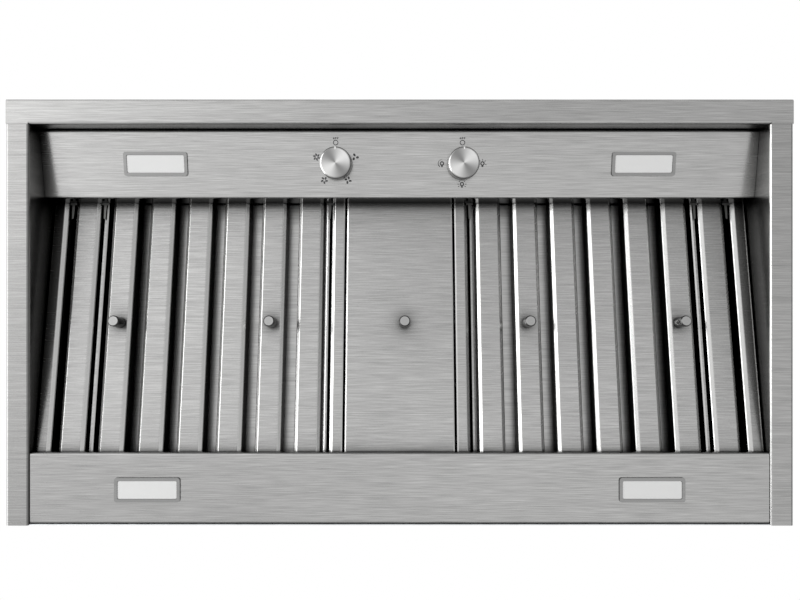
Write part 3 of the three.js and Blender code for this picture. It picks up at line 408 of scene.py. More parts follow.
def spun_steel(name, colour):
    """Knob, spun on a lathe: painted bright and dark sectors on its face, and painted shade on its sides."""
    shader = Shader(name)
    coordinates = shader.node("ShaderNodeTexCoord")
    split = shader.node("ShaderNodeSeparateXYZ")
    shader.link(coordinates.outputs["Object"], split.inputs[0])
    facing = shader.node("ShaderNodeSeparateXYZ")
    shader.link(coordinates.outputs["Normal"], facing.inputs[0])
    x, y, z = split.outputs
    distance = shader.node("ShaderNodeVectorMath", operation="LENGTH")
    shader.link(shader.vector(x, y), distance.inputs[0])
    radius = distance.outputs["Value"]
    angle = shader.maths("ARCTAN2", y, x)
    outward, round_it = GROOVES
    cells = shader.vector(shader.times(radius, outward), 0.0, shader.times(angle, round_it))
    grooves = shader.noise(cells, 1.0, 3.0)
    # painted highlight: the face's colour rises and falls twice round, in two bright and two dark sectors
    turn = shader.times(shader.maths("SUBTRACT", angle, PAINTED_FAN_ANGLE), 2.0)
    face = shader.plus(shader.times(shader.maths("COSINE", turn), PAINTED_FAN_CONTRAST), 1.0)
    shade = shader.times(face, shader.spread(grooves, 0.96, 1.04))
    sides = turned_sides(shader, facing, *KNOB_SIDES)
    shade = shader.mixed(shader.ramp(facing.outputs[2], *END_FACE), sides, shade)
    shader.set(Base_Color=shader.tinted(colour, shade), Metallic=1.0)
    shader.set(Roughness=0.3, Anisotropic=0.5)
    tangent = shader.node("ShaderNodeVectorTransform", vector_type="VECTOR")
    tangent.convert_from, tangent.convert_to = "OBJECT", "WORLD"
    shader.link(shader.vector(x, y), tangent.inputs[0])
    shader.link(tangent.outputs[0], shader.surface.inputs["Tangent"])
    shader.link(shader.bump(grooves, 0.08, 0.0001), shader.surface.inputs["Normal"])
    return shader.material


def moulded(name, colour, roughness, grain):
    """Moulded or painted surface with a fine skin."""
    shader = Shader(name)
    position = shader.node("ShaderNodeTexCoord").outputs["Object"]
    texture = shader.noise(position, 1100.0, 2.0)
    cloud = shader.noise(position, 30.0, 2.0)
    gloss = shader.spread(texture, roughness - 0.06, roughness + 0.06)
    shader.set(Base_Color=shader.tinted(colour, shader.spread(cloud, 0.88, 1.12)), Roughness=gloss)
    shader.link(shader.bump(texture, grain, 0.0001), shader.surface.inputs["Normal"])
    return shader.material


def frosted(name):
    """Opal lens: evenly white, with a little painted glow of its own."""
    shader = Shader(name)
    position = shader.node("ShaderNodeTexCoord").outputs["Object"]
    cloud = shader.noise(position, 40.0, 2.0)
    frost = shader.noise(position, 2600.0, 1.0)
    shader.set(Base_Color=shader.tinted(OPAL, shader.spread(cloud, 0.98, 1.02)), Roughness=0.42)
    # painted glow: emission that lights the lens evenly
    shader.set(Emission_Color=(1.0, 1.0, 0.995, 1.0), Emission_Strength=PAINTED_LENS_GLOW)
    shader.link(shader.bump(frost, 0.05, 0.00008), shader.surface.inputs["Normal"])
    return shader.material


def ink(name):
    """Printed ink, a little patchy."""
    shader = Shader(name)
    position = shader.node("ShaderNodeTexCoord").outputs["Object"]
    patchy = shader.noise(position, 1400.0, 2.0)
    shader.set(Base_Color=shader.tinted(INK, shader.spread(patchy, 0.8, 1.3)), Roughness=0.5)
    return shader.material


weld_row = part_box("top_plate")[0].z - WELD_DEPTH

MATERIALS = {
    "brushed_stainless": brushed_steel("brushed_stainless", STEEL),
    "galvanised_steel": galvanised("galvanised_steel"),
    "turned_steel": turned_steel("turned_steel", HANDLE_STEEL, 0.22),
    "spun_steel": spun_steel("spun_steel", KNOB_STEEL),
    "satin_bezel": brushed_steel("satin_bezel", BEZEL_STEEL, 0.28, 0.05),
    "frosted_lens": frosted("frosted_lens"),
    "black_moulding": moulded("black_moulding", BLACK, 0.5, 0.12),
    "motor_paint": moulded("motor_paint", MOTOR_PAINT, 0.36, 0.03),
}
panel_ink = ink("panel_ink")
index_fill = moulded("index_fill", INDEX_WHITE, 0.4, 0.02)
screw_steel = turned_steel("screw_steel", SCREW_STEEL, 0.3, painted_side_light=False)
clip_steel = turned_steel("clip_steel", CLIP_STEEL, 0.35, painted_side_light=False)
bay_steel = brushed_steel("bay_steel", STEEL, gap=2.8, level_gap=2.1, steep=BAY_STEEP, edge=0.38)
rear_steel = brushed_steel("rear_steel", LIT_REAR_BAFFLE_STEEL, 0.36, gap=0.5)

FINISH = {
    "control_panel": brushed_steel(
        "panel_steel", STEEL, gap=2.8, steep=PANEL_STEEP, rear=0.6, edge=0.66
    ),
    "rear_light_panel": brushed_steel("strip_steel", STRIP_STEEL, gap=2.8, steep=PANEL_STEEP),
    "front_panel": brushed_steel("front_steel", FRONT_STEEL, welds=weld_row),
    "left_side_panel": brushed_steel(
        "left_steel", SHADED_SIDE_STEEL, gap=3.2, fold=0.3, edge=0.15, wall=(1, 1.1, 0.25), welds=weld_row
    ),
    "right_side_panel": brushed_steel(
        "right_steel", SHADED_SIDE_STEEL, gap=2.4, edge=0.7, wall=(-1, 1.8, 0.25), welds=weld_row
    ),
}
for name in ("left_side_filler", "right_side_filler", "centre_channel", "centre_panel"):
    FINISH[name] = bay_steel
for name in nodes:
    if "_filter_" in name and not name.endswith("_handle"):
        FINISH[name] = rear_steel if name.endswith("rear_baffle") else bay_steel

for subpart in frame["record"]["subparts"]:
    shown = nodes[subpart["node"]]
    shown.data.materials.clear()
    shown.data.materials.append(
        FINISH.get(subpart["node"], MATERIALS[subpart["material_slot"]])
    )

# --- Mesh helpers -----------------------------------------------------------------------------


def place(name, mesh, material, body, slot, matrix=None, smooth_angle=32):
    """Puts a bmesh into the scene as a piece that rides on a body."""
    data = bpy.data.meshes.new(name)
    bmesh.ops.recalc_face_normals(mesh, faces=mesh.faces)
    limit = math.radians(smooth_angle)
    for face in mesh.faces:
        face.smooth = True
    for edge in mesh.edges:
        edge.smooth = len(edge.link_faces) == 2 and edge.calc_face_angle() < limit
    mesh.to_mesh(data)
    mesh.free()
    data.materials.append(material)
    piece = bpy.data.objects.new(name, data)
    if matrix is not None:
        piece.matrix_world = matrix
    scene.collection.objects.link(piece)
    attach(piece, body)
    return piece


def turned(outline, segments):
    """A closed turned solid about z. The outline runs from axis to axis, or is a ring."""
    mesh = bmesh.new()
    angles = [2 * math.pi * k / segments for k in range(segments)]
    rings = []
    for radius, height in outline:
        around = angles if radius else angles[:1]
        spots = [(radius * math.cos(angle), radius * math.sin(angle), height) for angle in around]
        rings.append([mesh.verts.new(spot) for spot in spots])
    for low, high in zip(rings, rings[1:] + rings[:1]):
        for k in range(segments):
            corners = [low[k % len(low)], low[(k + 1) % len(low)]]
            corners += [high[(k + 1) % len(high)], high[k % len(high)]]
            unique = list(dict.fromkeys(corners))
            if len(unique) > 2:
                mesh.faces.new(unique)
    return mesh


def arc(centre_r, centre_h, radius, start, end, steps=5):
    """Points of a round edge on a turned outline, with its angles in degrees."""
    points = []
    for k in range(steps + 1):
        angle = math.radians(start + (end - start) * k / steps)
        points.append((centre_r + radius * math.cos(angle), centre_h + radius * math.sin(angle)))
    return points


def rounded(half_x, half_y, radius, steps=6):
    """A rectangle with round corners, anticlockwise about the origin."""
    points = []
    for corner, (sx, sy) in enumerate(((1, 1), (-1, 1), (-1, -1), (1, -1))):
        for k in range(steps + 1):
            angle = math.pi / 2 * (corner + k / steps)
            points.append(
                (
                    sx * (half_x - radius) + radius * math.cos(angle),
                    sy * (half_y - radius) + radius * math.sin(angle),
                )
            )
    return points


def prism(mesh, points, low, high):
    """Adds a flat shape of even thickness, from its outline in order."""
    foot, top = [[mesh.verts.new((x, y, z)) for x, y in points] for z in (low, high)]
    count = len(points)
    for k in range(count):
        following = (k + 1) % count
        mesh.faces.new((foot[k], foot[following], top[following], top[k]))
    mesh.faces.new(foot)
    mesh.faces.new(top)


def band(mesh, path, widths, low, high, closed=False):
    """Adds a flat strip along a path, with a width at each point."""
    points = [Vector(point) for point in path]
    count = len(points)
    rings = []
    for k, point in enumerate(points):
        before = points[k - 1] if k or closed else point
        after = points[(k + 1) % count] if k + 1 < count or closed else point
        normal = (after - before).normalized().orthogonal() * widths[k] / 2
        left, right = point + normal, point - normal
        corners = ((left, low), (right, low), (right, high), (left, high))
        rings.append([mesh.verts.new((at.x, at.y, z)) for at, z in corners])
    for k in range(count if closed else count - 1):
        first, second = rings[k], rings[(k + 1) % count]
        for j in range(4):
            mesh.faces.new((first[j], first[(j + 1) % 4], second[(j + 1) % 4], second[j]))
    if not closed:
        mesh.faces.new(rings[0])
        mesh.faces.new(rings[-1])


def round_path(centre, radius_x, radius_y, start, end, steps):
    """Points along an ellipse, with its angles in degrees."""
    x, y = centre
    angles = [math.radians(start + (end - start) * k / steps) for k in range(steps + 1)]
    return [(x + radius_x * math.cos(a), y + radius_y * math.sin(a)) for a in angles]


def gathered(make, matrices):
    """One mesh with a copy of a small mesh at each matrix."""
    whole = bmesh.new()
    carrier = bpy.data.meshes.new("carrier")
    for matrix in matrices:
        copy = make()
        copy.transform(matrix)
        copy.to_mesh(carrier)
        copy.free()
        whole.from_mesh(carrier)
    bpy.data.meshes.remove(carrier)
    return whole


# --- Knobs ------------------------------------------------------------------------------------

KNOB_RADIUS = 19.0 * MM
KNOB_FACE_RADIUS = 16.9 * MM
KNOB_SHOULDER = 18.6 * MM  # end of the slope round the face
KNOB_BEVEL = 1.9 * MM
KNOB_HEIGHT = 14.0 * MM
KNOB_UNDERSIDE = 1.8 * MM  # below the panel's underside, as the frame has it
KNOB_BORE = 3.3 * MM
KNOB_BORE_DEPTH = 10.1 * MM
KNOB_SKIRT = 1.6 * MM  # straight part at its foot
SKIRT_EDGE = 0.4 * MM
FACE_DISH = 0.25 * MM
EDGE_ROUND = 0.3 * MM
KNOB_SEGMENTS = 96
KNOB_SMOOTHING = 40  # degrees
KNOB_MARK = (0.7 * MM, 1.5 * MM)  # half width and half length
MARK_ROUND = 0.3 * MM
MARK_INSET = 1.75 * MM  # its middle, from the shoulder


def knob(name):
    """Turned knob, z out of the panel, with a dished face and a small mark across its edge."""
    base = KNOB_UNDERSIDE
    top = base + KNOB_HEIGHT
    bore_end = base + KNOB_BORE_DEPTH
    bevel_foot = top - KNOB_BEVEL
    bevel_middle = (KNOB_FACE_RADIUS + KNOB_SHOULDER) / 2
    outline = [(0, bore_end), (KNOB_BORE, bore_end), (KNOB_BORE, base)]
    outline += [(KNOB_RADIUS - SKIRT_EDGE, base), (KNOB_RADIUS, base + SKIRT_EDGE)]
    outline += [(KNOB_RADIUS, base + KNOB_SKIRT), (KNOB_SHOULDER, bevel_foot - EDGE_ROUND)]
    outline += [(KNOB_SHOULDER - 0.08 * MM, bevel_foot)]
    outline += [(bevel_middle + 0.35 * MM, top - 0.85 * MM), (bevel_middle, top - KNOB_BEVEL / 3)]
    outline += arc(KNOB_FACE_RADIUS - EDGE_ROUND, top - EDGE_ROUND, EDGE_ROUND, 60, 90, 3)
    outline += [(KNOB_FACE_RADIUS - 1.5 * MM, top)]
    for share in (0.85, 0.7, 0.5, 0.3, 0.12, 0):
        outline.append((KNOB_FACE_RADIUS * share, top - FACE_DISH * (1 - share * share)))
    mesh = turned(outline, KNOB_SEGMENTS)
    matrix = panel_matrix(knob_foot[name])
    body = f"{name}_control"
    steel = MATERIALS["spun_steel"]
    piece = place(f"{name}_knob_turned", mesh, steel, body, "spun_steel", matrix, KNOB_SMOOTHING)
    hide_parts(f"{name}_knob")
    mark = bmesh.new()
    prism(mark, rounded(*KNOB_MARK, MARK_ROUND, 3), bevel_foot, top + 0.02 * MM)
    matrix = matrix @ Matrix.Translation((0, KNOB_SHOULDER - MARK_INSET, 0))
    place(f"{name}_knob_mark", mark, index_fill, body, "turned_steel", matrix)


for knob_name in KNOB_JOINTS:
    knob(knob_name)

# --- Handles ----------------------------------------------------------------------------------

HANDLE_RADIUS = 6.5 * MM
HANDLE_LENGTH = 18.4 * MM
HANDLE_FOOT = 0.3 * MM
HANDLE_CHAMFER = (1.1 * MM, 0.8 * MM)  # across and along
STUD_RADIUS = 2.5 * MM
STUD_LENGTH = 8.0 * MM
HANDLE_SEGMENTS = 64


def handle(node, body):
    """Turned pull handle, z out of the filter, with a screw stud through the sheet."""
    low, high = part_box(node)
    across, along = HANDLE_CHAMFER
    shoulder = HANDLE_LENGTH - along
    outline = [(0, -STUD_LENGTH), (STUD_RADIUS, -STUD_LENGTH), (STUD_RADIUS, HANDLE_FOOT)]
    outline += [(HANDLE_RADIUS - 0.2 * MM, HANDLE_FOOT), (HANDLE_RADIUS, HANDLE_FOOT + 0.2 * MM)]
    outline += [(HANDLE_RADIUS, shoulder - 0.15 * MM), (HANDLE_RADIUS - 0.1 * MM, shoulder)]
    outline += [(HANDLE_RADIUS - across, HANDLE_LENGTH), (0, HANDLE_LENGTH)]
    mesh = turned(outline, HANDLE_SEGMENTS)
    origin = (low + high) / 2 - filter_out * (HANDLE_LENGTH - STUD_LENGTH) / 2
    matrix = basis(RIGHT, filter_forward, filter_out, origin)
    piece = place(f"{node}_turned", mesh, MATERIALS["turned_steel"], body, "turned_steel", matrix)
    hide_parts(node)


for side_name in ("left", "right"):
    for spot in ("outer", "inner"):
        handle(f"{side_name}_filter_{spot}_handle", f"{side_name}_filter")
handle("centre_panel_handle", "centre_cover")

# --- Printed marks round the knobs ------------------------------------------------------------

INK_LOW = -0.1 * MM
INK_HIGH = 0.16 * MM
MARK_SHIFT = (-0.7 * MM, 0.6 * MM)  # the print's middle, from the shaft's
MARK_RADIUS = 24.4 * MM  # marks stand on this circle
OFF_HEIGHT = 29.4 * MM
LETTER = (1.9 * MM, 2.2 * MM)
LETTER_STEP = 2.45 * MM
STROKE = 0.78 * MM
F_BAR = (0.8, 0.42)  # length and height of the middle bar of an F, as shares of the letter
LOOP_STEPS = 28
RING_RADIUS = 2.75 * MM
RING_STROKE = 0.95 * MM
RAY_STROKE = 0.95 * MM
FAN_REACH = 2.75 * MM  # from a fan's middle to a blade's
FAN_TWIST = 20
FANS = {3: 110, 4: 72, 5: 54, 6: 38}  # blades, and where the first one points
BLADE_HALF = 1.8 * MM
BLADE_WIDTH = 1.35 * MM  # half width with three blades
BLADE_NARROWING = 0.11 * MM  # for each blade more
BULB_RADIUS = 1.95 * MM
BULB_STROKE = 1.4 * MM
BULB_CAP = (1.25 * MM, 0.95 * MM, 2.3 * MM)  # half widths at bulb and foot, and length
DIMMER_RADIUS = 4.6 * MM
DIMMER_STEPS = 16
DIMMER_WIDTHS = (0.25 * MM, 1.15 * MM)


def closed_band(mesh, centre, radius_x, radius_y, width):
    path = round_path(centre, radius_x, radius_y, 0, 360, LOOP_STEPS)[:-1]
    band(mesh, path, [width] * len(path), INK_LOW, INK_HIGH, closed=True)


def letter_f(mesh, left, bottom):
    width, height = LETTER
    reach, bar = F_BAR[0] * width, F_BAR[1] * height
    outline = [(0, 0), (STROKE, 0), (STROKE, bar), (reach, bar), (reach, bar + STROKE)]
    outline += [(STROKE, bar + STROKE), (STROKE, height - STROKE), (width, height - STROKE)]
    outline += [(width, height), (0, height)]
    prism(mesh, [(left + x, bottom + y) for x, y in outline], INK_LOW, INK_HIGH)


def off_mark(mesh):
    """The word OFF over a ring."""
    width, height = LETTER
    bottom = OFF_HEIGHT - height / 2
    centre = (-LETTER_STEP, OFF_HEIGHT)
    closed_band(mesh, centre, (width - STROKE) / 2, (height - STROKE) / 2, STROKE)
    for step in (0, 1):
        letter_f(mesh, step * LETTER_STEP - width / 2, bottom)
    closed_band(mesh, (0, MARK_RADIUS), RING_RADIUS, RING_RADIUS, RING_STROKE)


def fan_mark(mesh, blades, centre):
    """A fan with as many blades as its speed has."""
    half_width = BLADE_WIDTH - BLADE_NARROWING * (blades - 3)
    for k in range(blades):
        angle = math.radians(FANS[blades] + 360 * k / blades)
        middle = Vector((math.cos(angle), math.sin(angle))) * FAN_REACH + Vector(centre)
        turn = Matrix.Rotation(angle + math.radians(FAN_TWIST), 2)
        leaf = round_path((0, 0), BLADE_HALF, half_width, 0, 360, LOOP_STEPS // 2)[:-1]
        prism(mesh, [middle + turn @ Vector(point) for point in leaf], INK_LOW, INK_HIGH)


def bulb_mark(mesh, centre, rays):
    """A lamp bulb, cap down, with rays given as angle, start and end."""
    x, y = centre
    closed_band(mesh, centre, BULB_RADIUS, BULB_RADIUS, BULB_STROKE)
    top = y - BULB_RADIUS
    top_half, foot_half, length = BULB_CAP
    cap = [(x - top_half, top), (x - foot_half, top - length)]
    cap += [(x + foot_half, top - length), (x + top_half, top)]
    prism(mesh, cap, INK_LOW, INK_HIGH)
    for degrees, start, end in rays:
        angle = math.radians(degrees)
        way = Vector((math.cos(angle), math.sin(angle))) * MM
        ends = [Vector(centre) + way * start, Vector(centre) + way * end]
        band(mesh, ends, [RAY_STROKE] * 2, INK_LOW, INK_HIGH)


def mark_place(step, steps):
    angle = math.pi / 2 - 2 * math.pi * step / steps
    return (MARK_RADIUS * math.cos(angle), MARK_RADIUS * math.sin(angle))


def mark_matrix(name):
    return panel_matrix(knob_foot[name]) @ Matrix.Translation((*MARK_SHIFT, 0))


fan_marks = bmesh.new()
off_mark(fan_marks)
for step, blades in enumerate(FANS, start=1):
    fan_mark(fan_marks, blades, mark_place(step, len(FANS) + 1))
place("fan_marks", fan_marks, panel_ink, "casing", "black_moulding", mark_matrix("fan"))

light_marks = bmesh.new()
off_mark(light_marks)
bulb_mark(light_marks, mark_place(1, 4), [(a, 3.5, 5.0) for a in (90, 42, 138, -18, 198)])
long_rays = [(a, 3.9, 5.4) for a in (46, 134, 0, 180, -34, -146)]
bulb_mark(light_marks, mark_place(2, 4), long_rays + [(a, 4.0, 4.7) for a in (72, 108)])
bulb_mark(light_marks, mark_place(3, 4), [])
dimmer_arc = round_path(mark_place(3, 4), DIMMER_RADIUS, DIMMER_RADIUS, 85, 235, DIMMER_STEPS)
thin, thick = DIMMER_WIDTHS
widths = [thin + (thick - thin) * k / DIMMER_STEPS for k in range(DIMMER_STEPS + 1)]
band(light_marks, dimmer_arc, widths, INK_LOW, INK_HIGH)
place("light_marks", light_marks, panel_ink, "casing", "black_moulding", mark_matrix("light"))

# --- Clips at the front ends of the filters ---------------------------------------------------

CLIP_THICKNESS = 0.7 * MM
CLIP_BAR = (4.1 * MM, 1.2 * MM)  # half width and half height
CLIP_ROUND = 0.9 * MM
CLIP_STEM_TOP = 1.7 * MM  # half widths
CLIP_STEM_FOOT = 1.0 * MM
CLIP_LENGTH = 19.0 * MM
CLIP_START = 1.4 * MM  # from the support, down the filters
CLIP_LIFT = 0.4 * MM
BAR_LIFT = 0.15 * MM
STEM_LIFT = 0.3 * MM
frame_low, frame_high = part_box("right_filter_frame")
filler_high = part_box("right_side_filler")[1]
support_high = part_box("control_panel")[1]
CLIP_X = [  # at both long joints of a filter, and at the outer strip
    frame_low.x + 0.9 * MM,
    frame_high.x - 1.8 * MM,
    filler_high.x - 23.6 * MM,
]


def clip():
    """A T-shaped spring clip, drawn with its stem down the filters."""
    mesh = bmesh.new()
    bar = rounded(*CLIP_BAR, CLIP_ROUND, 4)
    foot = (0, CLIP_STEM_FOOT - CLIP_LENGTH)
    stem = [(CLIP_STEM_TOP, 0), (-CLIP_STEM_TOP, 0)]
    stem += round_path(foot, CLIP_STEM_FOOT, CLIP_STEM_FOOT, 180, 360, 8)
    bar_top = BAR_LIFT + CLIP_THICKNESS
    prism(mesh, [(x, y - CLIP_START) for x, y in bar], BAR_LIFT, bar_top)
    prism(mesh, [(x, y - CLIP_START) for x, y in stem], STEM_LIFT, CLIP_THICKNESS)
    return mesh


clip_places = []
for side in (-1, 1):
    for x in CLIP_X:
        origin = Vector((side * x, support_high.y, support_high.z + CLIP_LIFT))
        clip_places.append(basis(RIGHT, filter_forward, filter_out, origin))
place("filter_clips", gathered(clip, clip_places), clip_steel, "casing", "satin_bezel")

# --- Duct collar ------------------------------------------------------------------------------

collar_low, collar_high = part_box("duct_collar")
collar_centre = (collar_low + collar_high) / 2
WALL = 1.2 * MM
COLLAR_FLANGE = 17 * MM
LEDGE_HEIGHT = 8 * MM
LEDGE_REACH = 6 * MM
flange_radius = (collar_high.x - collar_low.x) / 2
collar_radius = flange_radius - COLLAR_FLANGE
collar_height = collar_high.z - collar_low.z
BEAD_DEPTH = 1.6 * MM
BEAD_HALF = 3.5 * MM
BEAD_PLACE = 0.72  # share of the height
BEAD_STEPS = 8
COLLAR_SEGMENTS = 128


def beaded(radius, start, end):
    """Wall points from start to end with a rolled-in bead between them."""
    middle = BEAD_PLACE * collar_height
    sign = 1 if end > start else -1
    points = [(radius, start)]
    for k in range(BEAD_STEPS + 1):
        share = k / BEAD_STEPS
        dent = BEAD_DEPTH * math.sin(math.pi * share) ** 2
        points.append((radius - dent, middle + sign * BEAD_HALF * (2 * share - 1)))
    return points + [(radius, end)]


def collar():
    """Round duct collar: screw flange, damper ledge, stiffening bead and hemmed mouth."""
    inner = collar_radius - WALL
    ledge = inner - LEDGE_REACH
    hem = WALL / 2
    outline = [(inner, 0), (flange_radius - EDGE_ROUND, 0), (flange_radius, EDGE_ROUND)]
    outline += [(flange_radius, WALL - EDGE_ROUND), (flange_radius - EDGE_ROUND, WALL)]
    outline += [(collar_radius + 1.2 * MM, WALL), (collar_radius + 0.3 * MM, WALL + 0.4 * MM)]
    outline += beaded(collar_radius, WALL + 1.4 * MM, collar_height - hem)
    outline += arc(collar_radius - hem, collar_height - hem, hem, 15, 165, 4)
    outline += beaded(inner, collar_height - hem, LEDGE_HEIGHT)
    outline += [(ledge, LEDGE_HEIGHT), (ledge, LEDGE_HEIGHT - WALL), (inner, LEDGE_HEIGHT - WALL)]
    return turned(outline, COLLAR_SEGMENTS)


zinc = MATERIALS["galvanised_steel"]
collar_foot = Matrix.Translation((collar_centre.x, collar_centre.y, collar_low.z))
duct = place("duct_collar_turned", collar(), zinc, "casing", "galvanised_steel", collar_foot)
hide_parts("duct_collar")

# --- Screws and rivets on the outside ---------------------------------------------------------

SCREW_RADIUS = 3.6 * MM
SCREW_HEIGHT = 2.2 * MM
SCREW_CROWN = 0.99 * SCREW_HEIGHT
WASHER_REACH = 0.8 * MM  # past the head
WASHER_HEIGHT = 0.4 * MM
SLOT_HALF = 2.1 * MM
SLOT_WIDTH = 0.95 * MM
SLOT_ROUND = 0.3 * MM
RIVET_RADIUS = 3.0 * MM
RIVET_HEIGHT = 1.2 * MM
RIVET_HOLLOW = 0.8 * MM
FASTENER_SEGMENTS = 20
FASTENER_TURN = 0.7  # from one to the next, so that their recesses don't line up
EDGE_INSET = 10 * MM
SCREW_PITCH = 88 * MM
FLANGE_SCREWS = 8
FLANGE_PLACE = 0.55  # of the screws, as a share of the flange's width
LID_INSET = 9 * MM
GLAND_REACH = 12 * MM  # from the junction box's right side
RAIL_FOOT = 15 * MM
RAIL_END = 20 * MM
RIVET_PITCH = 72 * MM
DRIVER_INSET = 7 * MM


def screw_head():
    """Pan head with a thin washer face."""
    washer = SCREW_RADIUS + WASHER_REACH
    outline = [(0, 0), (washer, 0), (washer, WASHER_HEIGHT)]
    outline.append((SCREW_RADIUS, WASHER_HEIGHT + 0.05 * MM))
    for degrees in (88, 70, 52, 36, 22):
        angle = math.radians(degrees)
        height = SCREW_HEIGHT * (0.25 + 0.75 * math.cos(angle))
        outline.append((SCREW_RADIUS * math.sin(angle), height))
    outline += [(0.3 * SCREW_RADIUS, SCREW_CROWN), (0, SCREW_CROWN)]
    return turned(outline, FASTENER_SEGMENTS)


def screw_slot():
    """Cross recess, as a dark cross a hair above the head: painted shade where the recess would be."""
    mesh = bmesh.new()
    low, high = 0.75 * SCREW_HEIGHT, 1.01 * SCREW_HEIGHT
    for half_x, half_y in ((SLOT_HALF, SLOT_WIDTH / 2), (SLOT_WIDTH / 2, SLOT_HALF)):
        prism(mesh, rounded(half_x, half_y, SLOT_ROUND, 2), low, high)
    return mesh


def rivet_head():
    """Blind rivet: a low dome with a hollow in its middle."""
    outline = [(0, 0), (RIVET_RADIUS, 0), (RIVET_RADIUS, RIVET_HEIGHT / 4)]
    outline += [(0.85 * RIVET_RADIUS, 0.75 * RIVET_HEIGHT), (0.5 * RIVET_RADIUS, RIVET_HEIGHT)]
    outline += [(0.42 * RIVET_RADIUS, RIVET_HOLLOW), (0, RIVET_HOLLOW)]
    return turned(outline, FASTENER_SEGMENTS)


def row(start, end, pitch):
    """Evenly spaced points from start to end, about a pitch apart."""
    count = max(1, round(abs(end - start) / pitch))
    return [start + (end - start) * k / count for k in range(count + 1)]


def fasten(name, kinds, spots):
    """Puts fasteners of one kind on the casing, one at each spot."""
    matrices = []
    for k, spot in enumerate(spots):
        matrices.append(Matrix.Translation(spot) @ Matrix.Rotation(FASTENER_TURN * k, 4, "Z"))
    for suffix, make, finish, slot in kinds:
        place(f"{name}{suffix}", gathered(make, matrices), finish, "casing", slot)


SCREW = (
    ("_screws", screw_head, screw_steel, "turned_steel"),
    ("_screw_slots", screw_slot, panel_ink, "black_moulding"),
)
RIVET = (("_rivets", rivet_head, screw_steel, "turned_steel"),)

plate_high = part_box("top_plate")[1]
plate_top = plate_high.z
edge_x, edge_y = plate_high.x - EDGE_INSET, plate_high.y - EDGE_INSET
edge_spots = []
for side in (-1, 1):
    for x in row(-edge_x, edge_x, SCREW_PITCH):
        edge_spots.append(Vector((x, side * edge_y, plate_top)))
for side in (-1, 1):
    for y in row(-edge_y, edge_y, SCREW_PITCH)[1:-1]:
        edge_spots.append(Vector((side * edge_x, y, plate_top)))
fasten("top_plate", SCREW, edge_spots)

flange_spots = []
reach = collar_radius + FLANGE_PLACE * COLLAR_FLANGE
for k in range(FLANGE_SCREWS):
    angle = 2 * math.pi * (k + 0.5) / FLANGE_SCREWS
    x, y = collar_centre.x + reach * math.cos(angle), collar_centre.y + reach * math.sin(angle)
    flange_spots.append(Vector((x, y, collar_low.z + WALL)))
fasten("collar_flange", SCREW, flange_spots)

box_low, box_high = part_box("junction_box")
lid_corners = []
for x in (box_low.x + LID_INSET, box_high.x - GLAND_REACH - LID_INSET):
    for y in (box_low.y + LID_INSET, box_high.y - LID_INSET):
        lid_corners.append(Vector((x, y, box_high.z)))
fasten("junction_box_lid", SCREW, lid_corners)

rivet_spots = []
for side_name in ("left", "right"):
    rail_low, rail_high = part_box(f"{side_name}_hanging_rail")
    foot = rail_low.x + RAIL_FOOT if side_name == "left" else rail_high.x - RAIL_FOOT
    for y in row(rail_low.y + RAIL_END, rail_high.y - RAIL_END, RIVET_PITCH):
        rivet_spots.append(Vector((foot, y, rail_low.z + WALL)))
fasten("hanging_rail", RIVET, rivet_spots)

driver_low, driver_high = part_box("lamp_driver")
driver_y = (driver_low.y + driver_high.y) / 2
driver_spots = []
for x in (driver_low.x + DRIVER_INSET, driver_high.x - DRIVER_INSET):
    driver_spots.append(Vector((x, driver_y, plate_top)))
fasten("lamp_driver", SCREW, driver_spots)

# --- Light and surroundings -------------------------------------------------------------------


def chained(tree, value, *steps):
    """Runs a value through maths nodes, each an operation with its second value or socket."""
    for operation, amount in steps:
        made = tree.nodes.new("ShaderNodeMath")
        made.operation = operation
        tree.links.new(value, made.inputs[0])
        if isinstance(amount, bpy.types.NodeSocket):
            tree.links.new(amount, made.inputs[1])
        else:
            made.inputs[1].default_value = amount
        value = made.outputs[0]
    return value


def seen_directly(tree):
    """1 for the rays that see the background: camera, glossy and transmission rays."""
    rays = tree.nodes.new("ShaderNodeLightPath").outputs
    others = [("MAXIMUM", rays[f"Is {kind} Ray"]) for kind in ("Glossy", "Transmission")]
    return chained(tree, rays["Is Camera Ray"], *others)


AMBIENT = 0.4  # strength of the white room as a light, where 1 is what the camera sees
FLOOR_GLOW = 0.8  # how far the floor is plain white to the camera and in reflections
FLOOR_HALF = 40
FLOOR_GREY = (0.8, 0.8, 0.8, 1)

world = bpy.data.worlds.new("studio")
scene.world = world
world.use_nodes = True
background = world.node_tree.nodes["Background"]
background.inputs["Color"].default_value = (1, 1, 1, 1)
level = world.node_tree.nodes.new("ShaderNodeMapRange")
level.inputs["To Min"].default_value = AMBIENT
level.inputs["To Max"].default_value = 1.0
world.node_tree.links.new(seen_directly(world.node_tree), level.inputs["Value"])
world.node_tree.links.new(level.outputs["Result"], background.inputs["Strength"])

floor_shader = Shader("studio_floor")
floor_shader.set(Base_Color=FLOOR_GREY, Roughness=0.9)
glow = floor_shader.node("ShaderNodeEmission")
glow.inputs["Strength"].default_value = 1.0
blend = floor_shader.node("ShaderNodeMixShader")
output = floor_shader.tree.nodes["Material Output"]
share = floor_shader.times(seen_directly(floor_shader.tree), FLOOR_GLOW)
floor_shader.link(share, blend.inputs[0])
floor_shader.link(floor_shader.surface.outputs[0], blend.inputs[1])
floor_shader.link(glow.outputs[0], blend.inputs[2])
floor_shader.link(blend.outputs[0], output.inputs["Surface"])
floor_mesh = bmesh.new()
bmesh.ops.create_grid(floor_mesh, x_segments=2, y_segments=2, size=FLOOR_HALF)
floor_data = bpy.data.meshes.new("floor")
floor_mesh.to_mesh(floor_data)
floor_mesh.free()
floor_data.materials.append(floor_shader.material)
floor = bpy.data.objects.new("floor", floor_data)
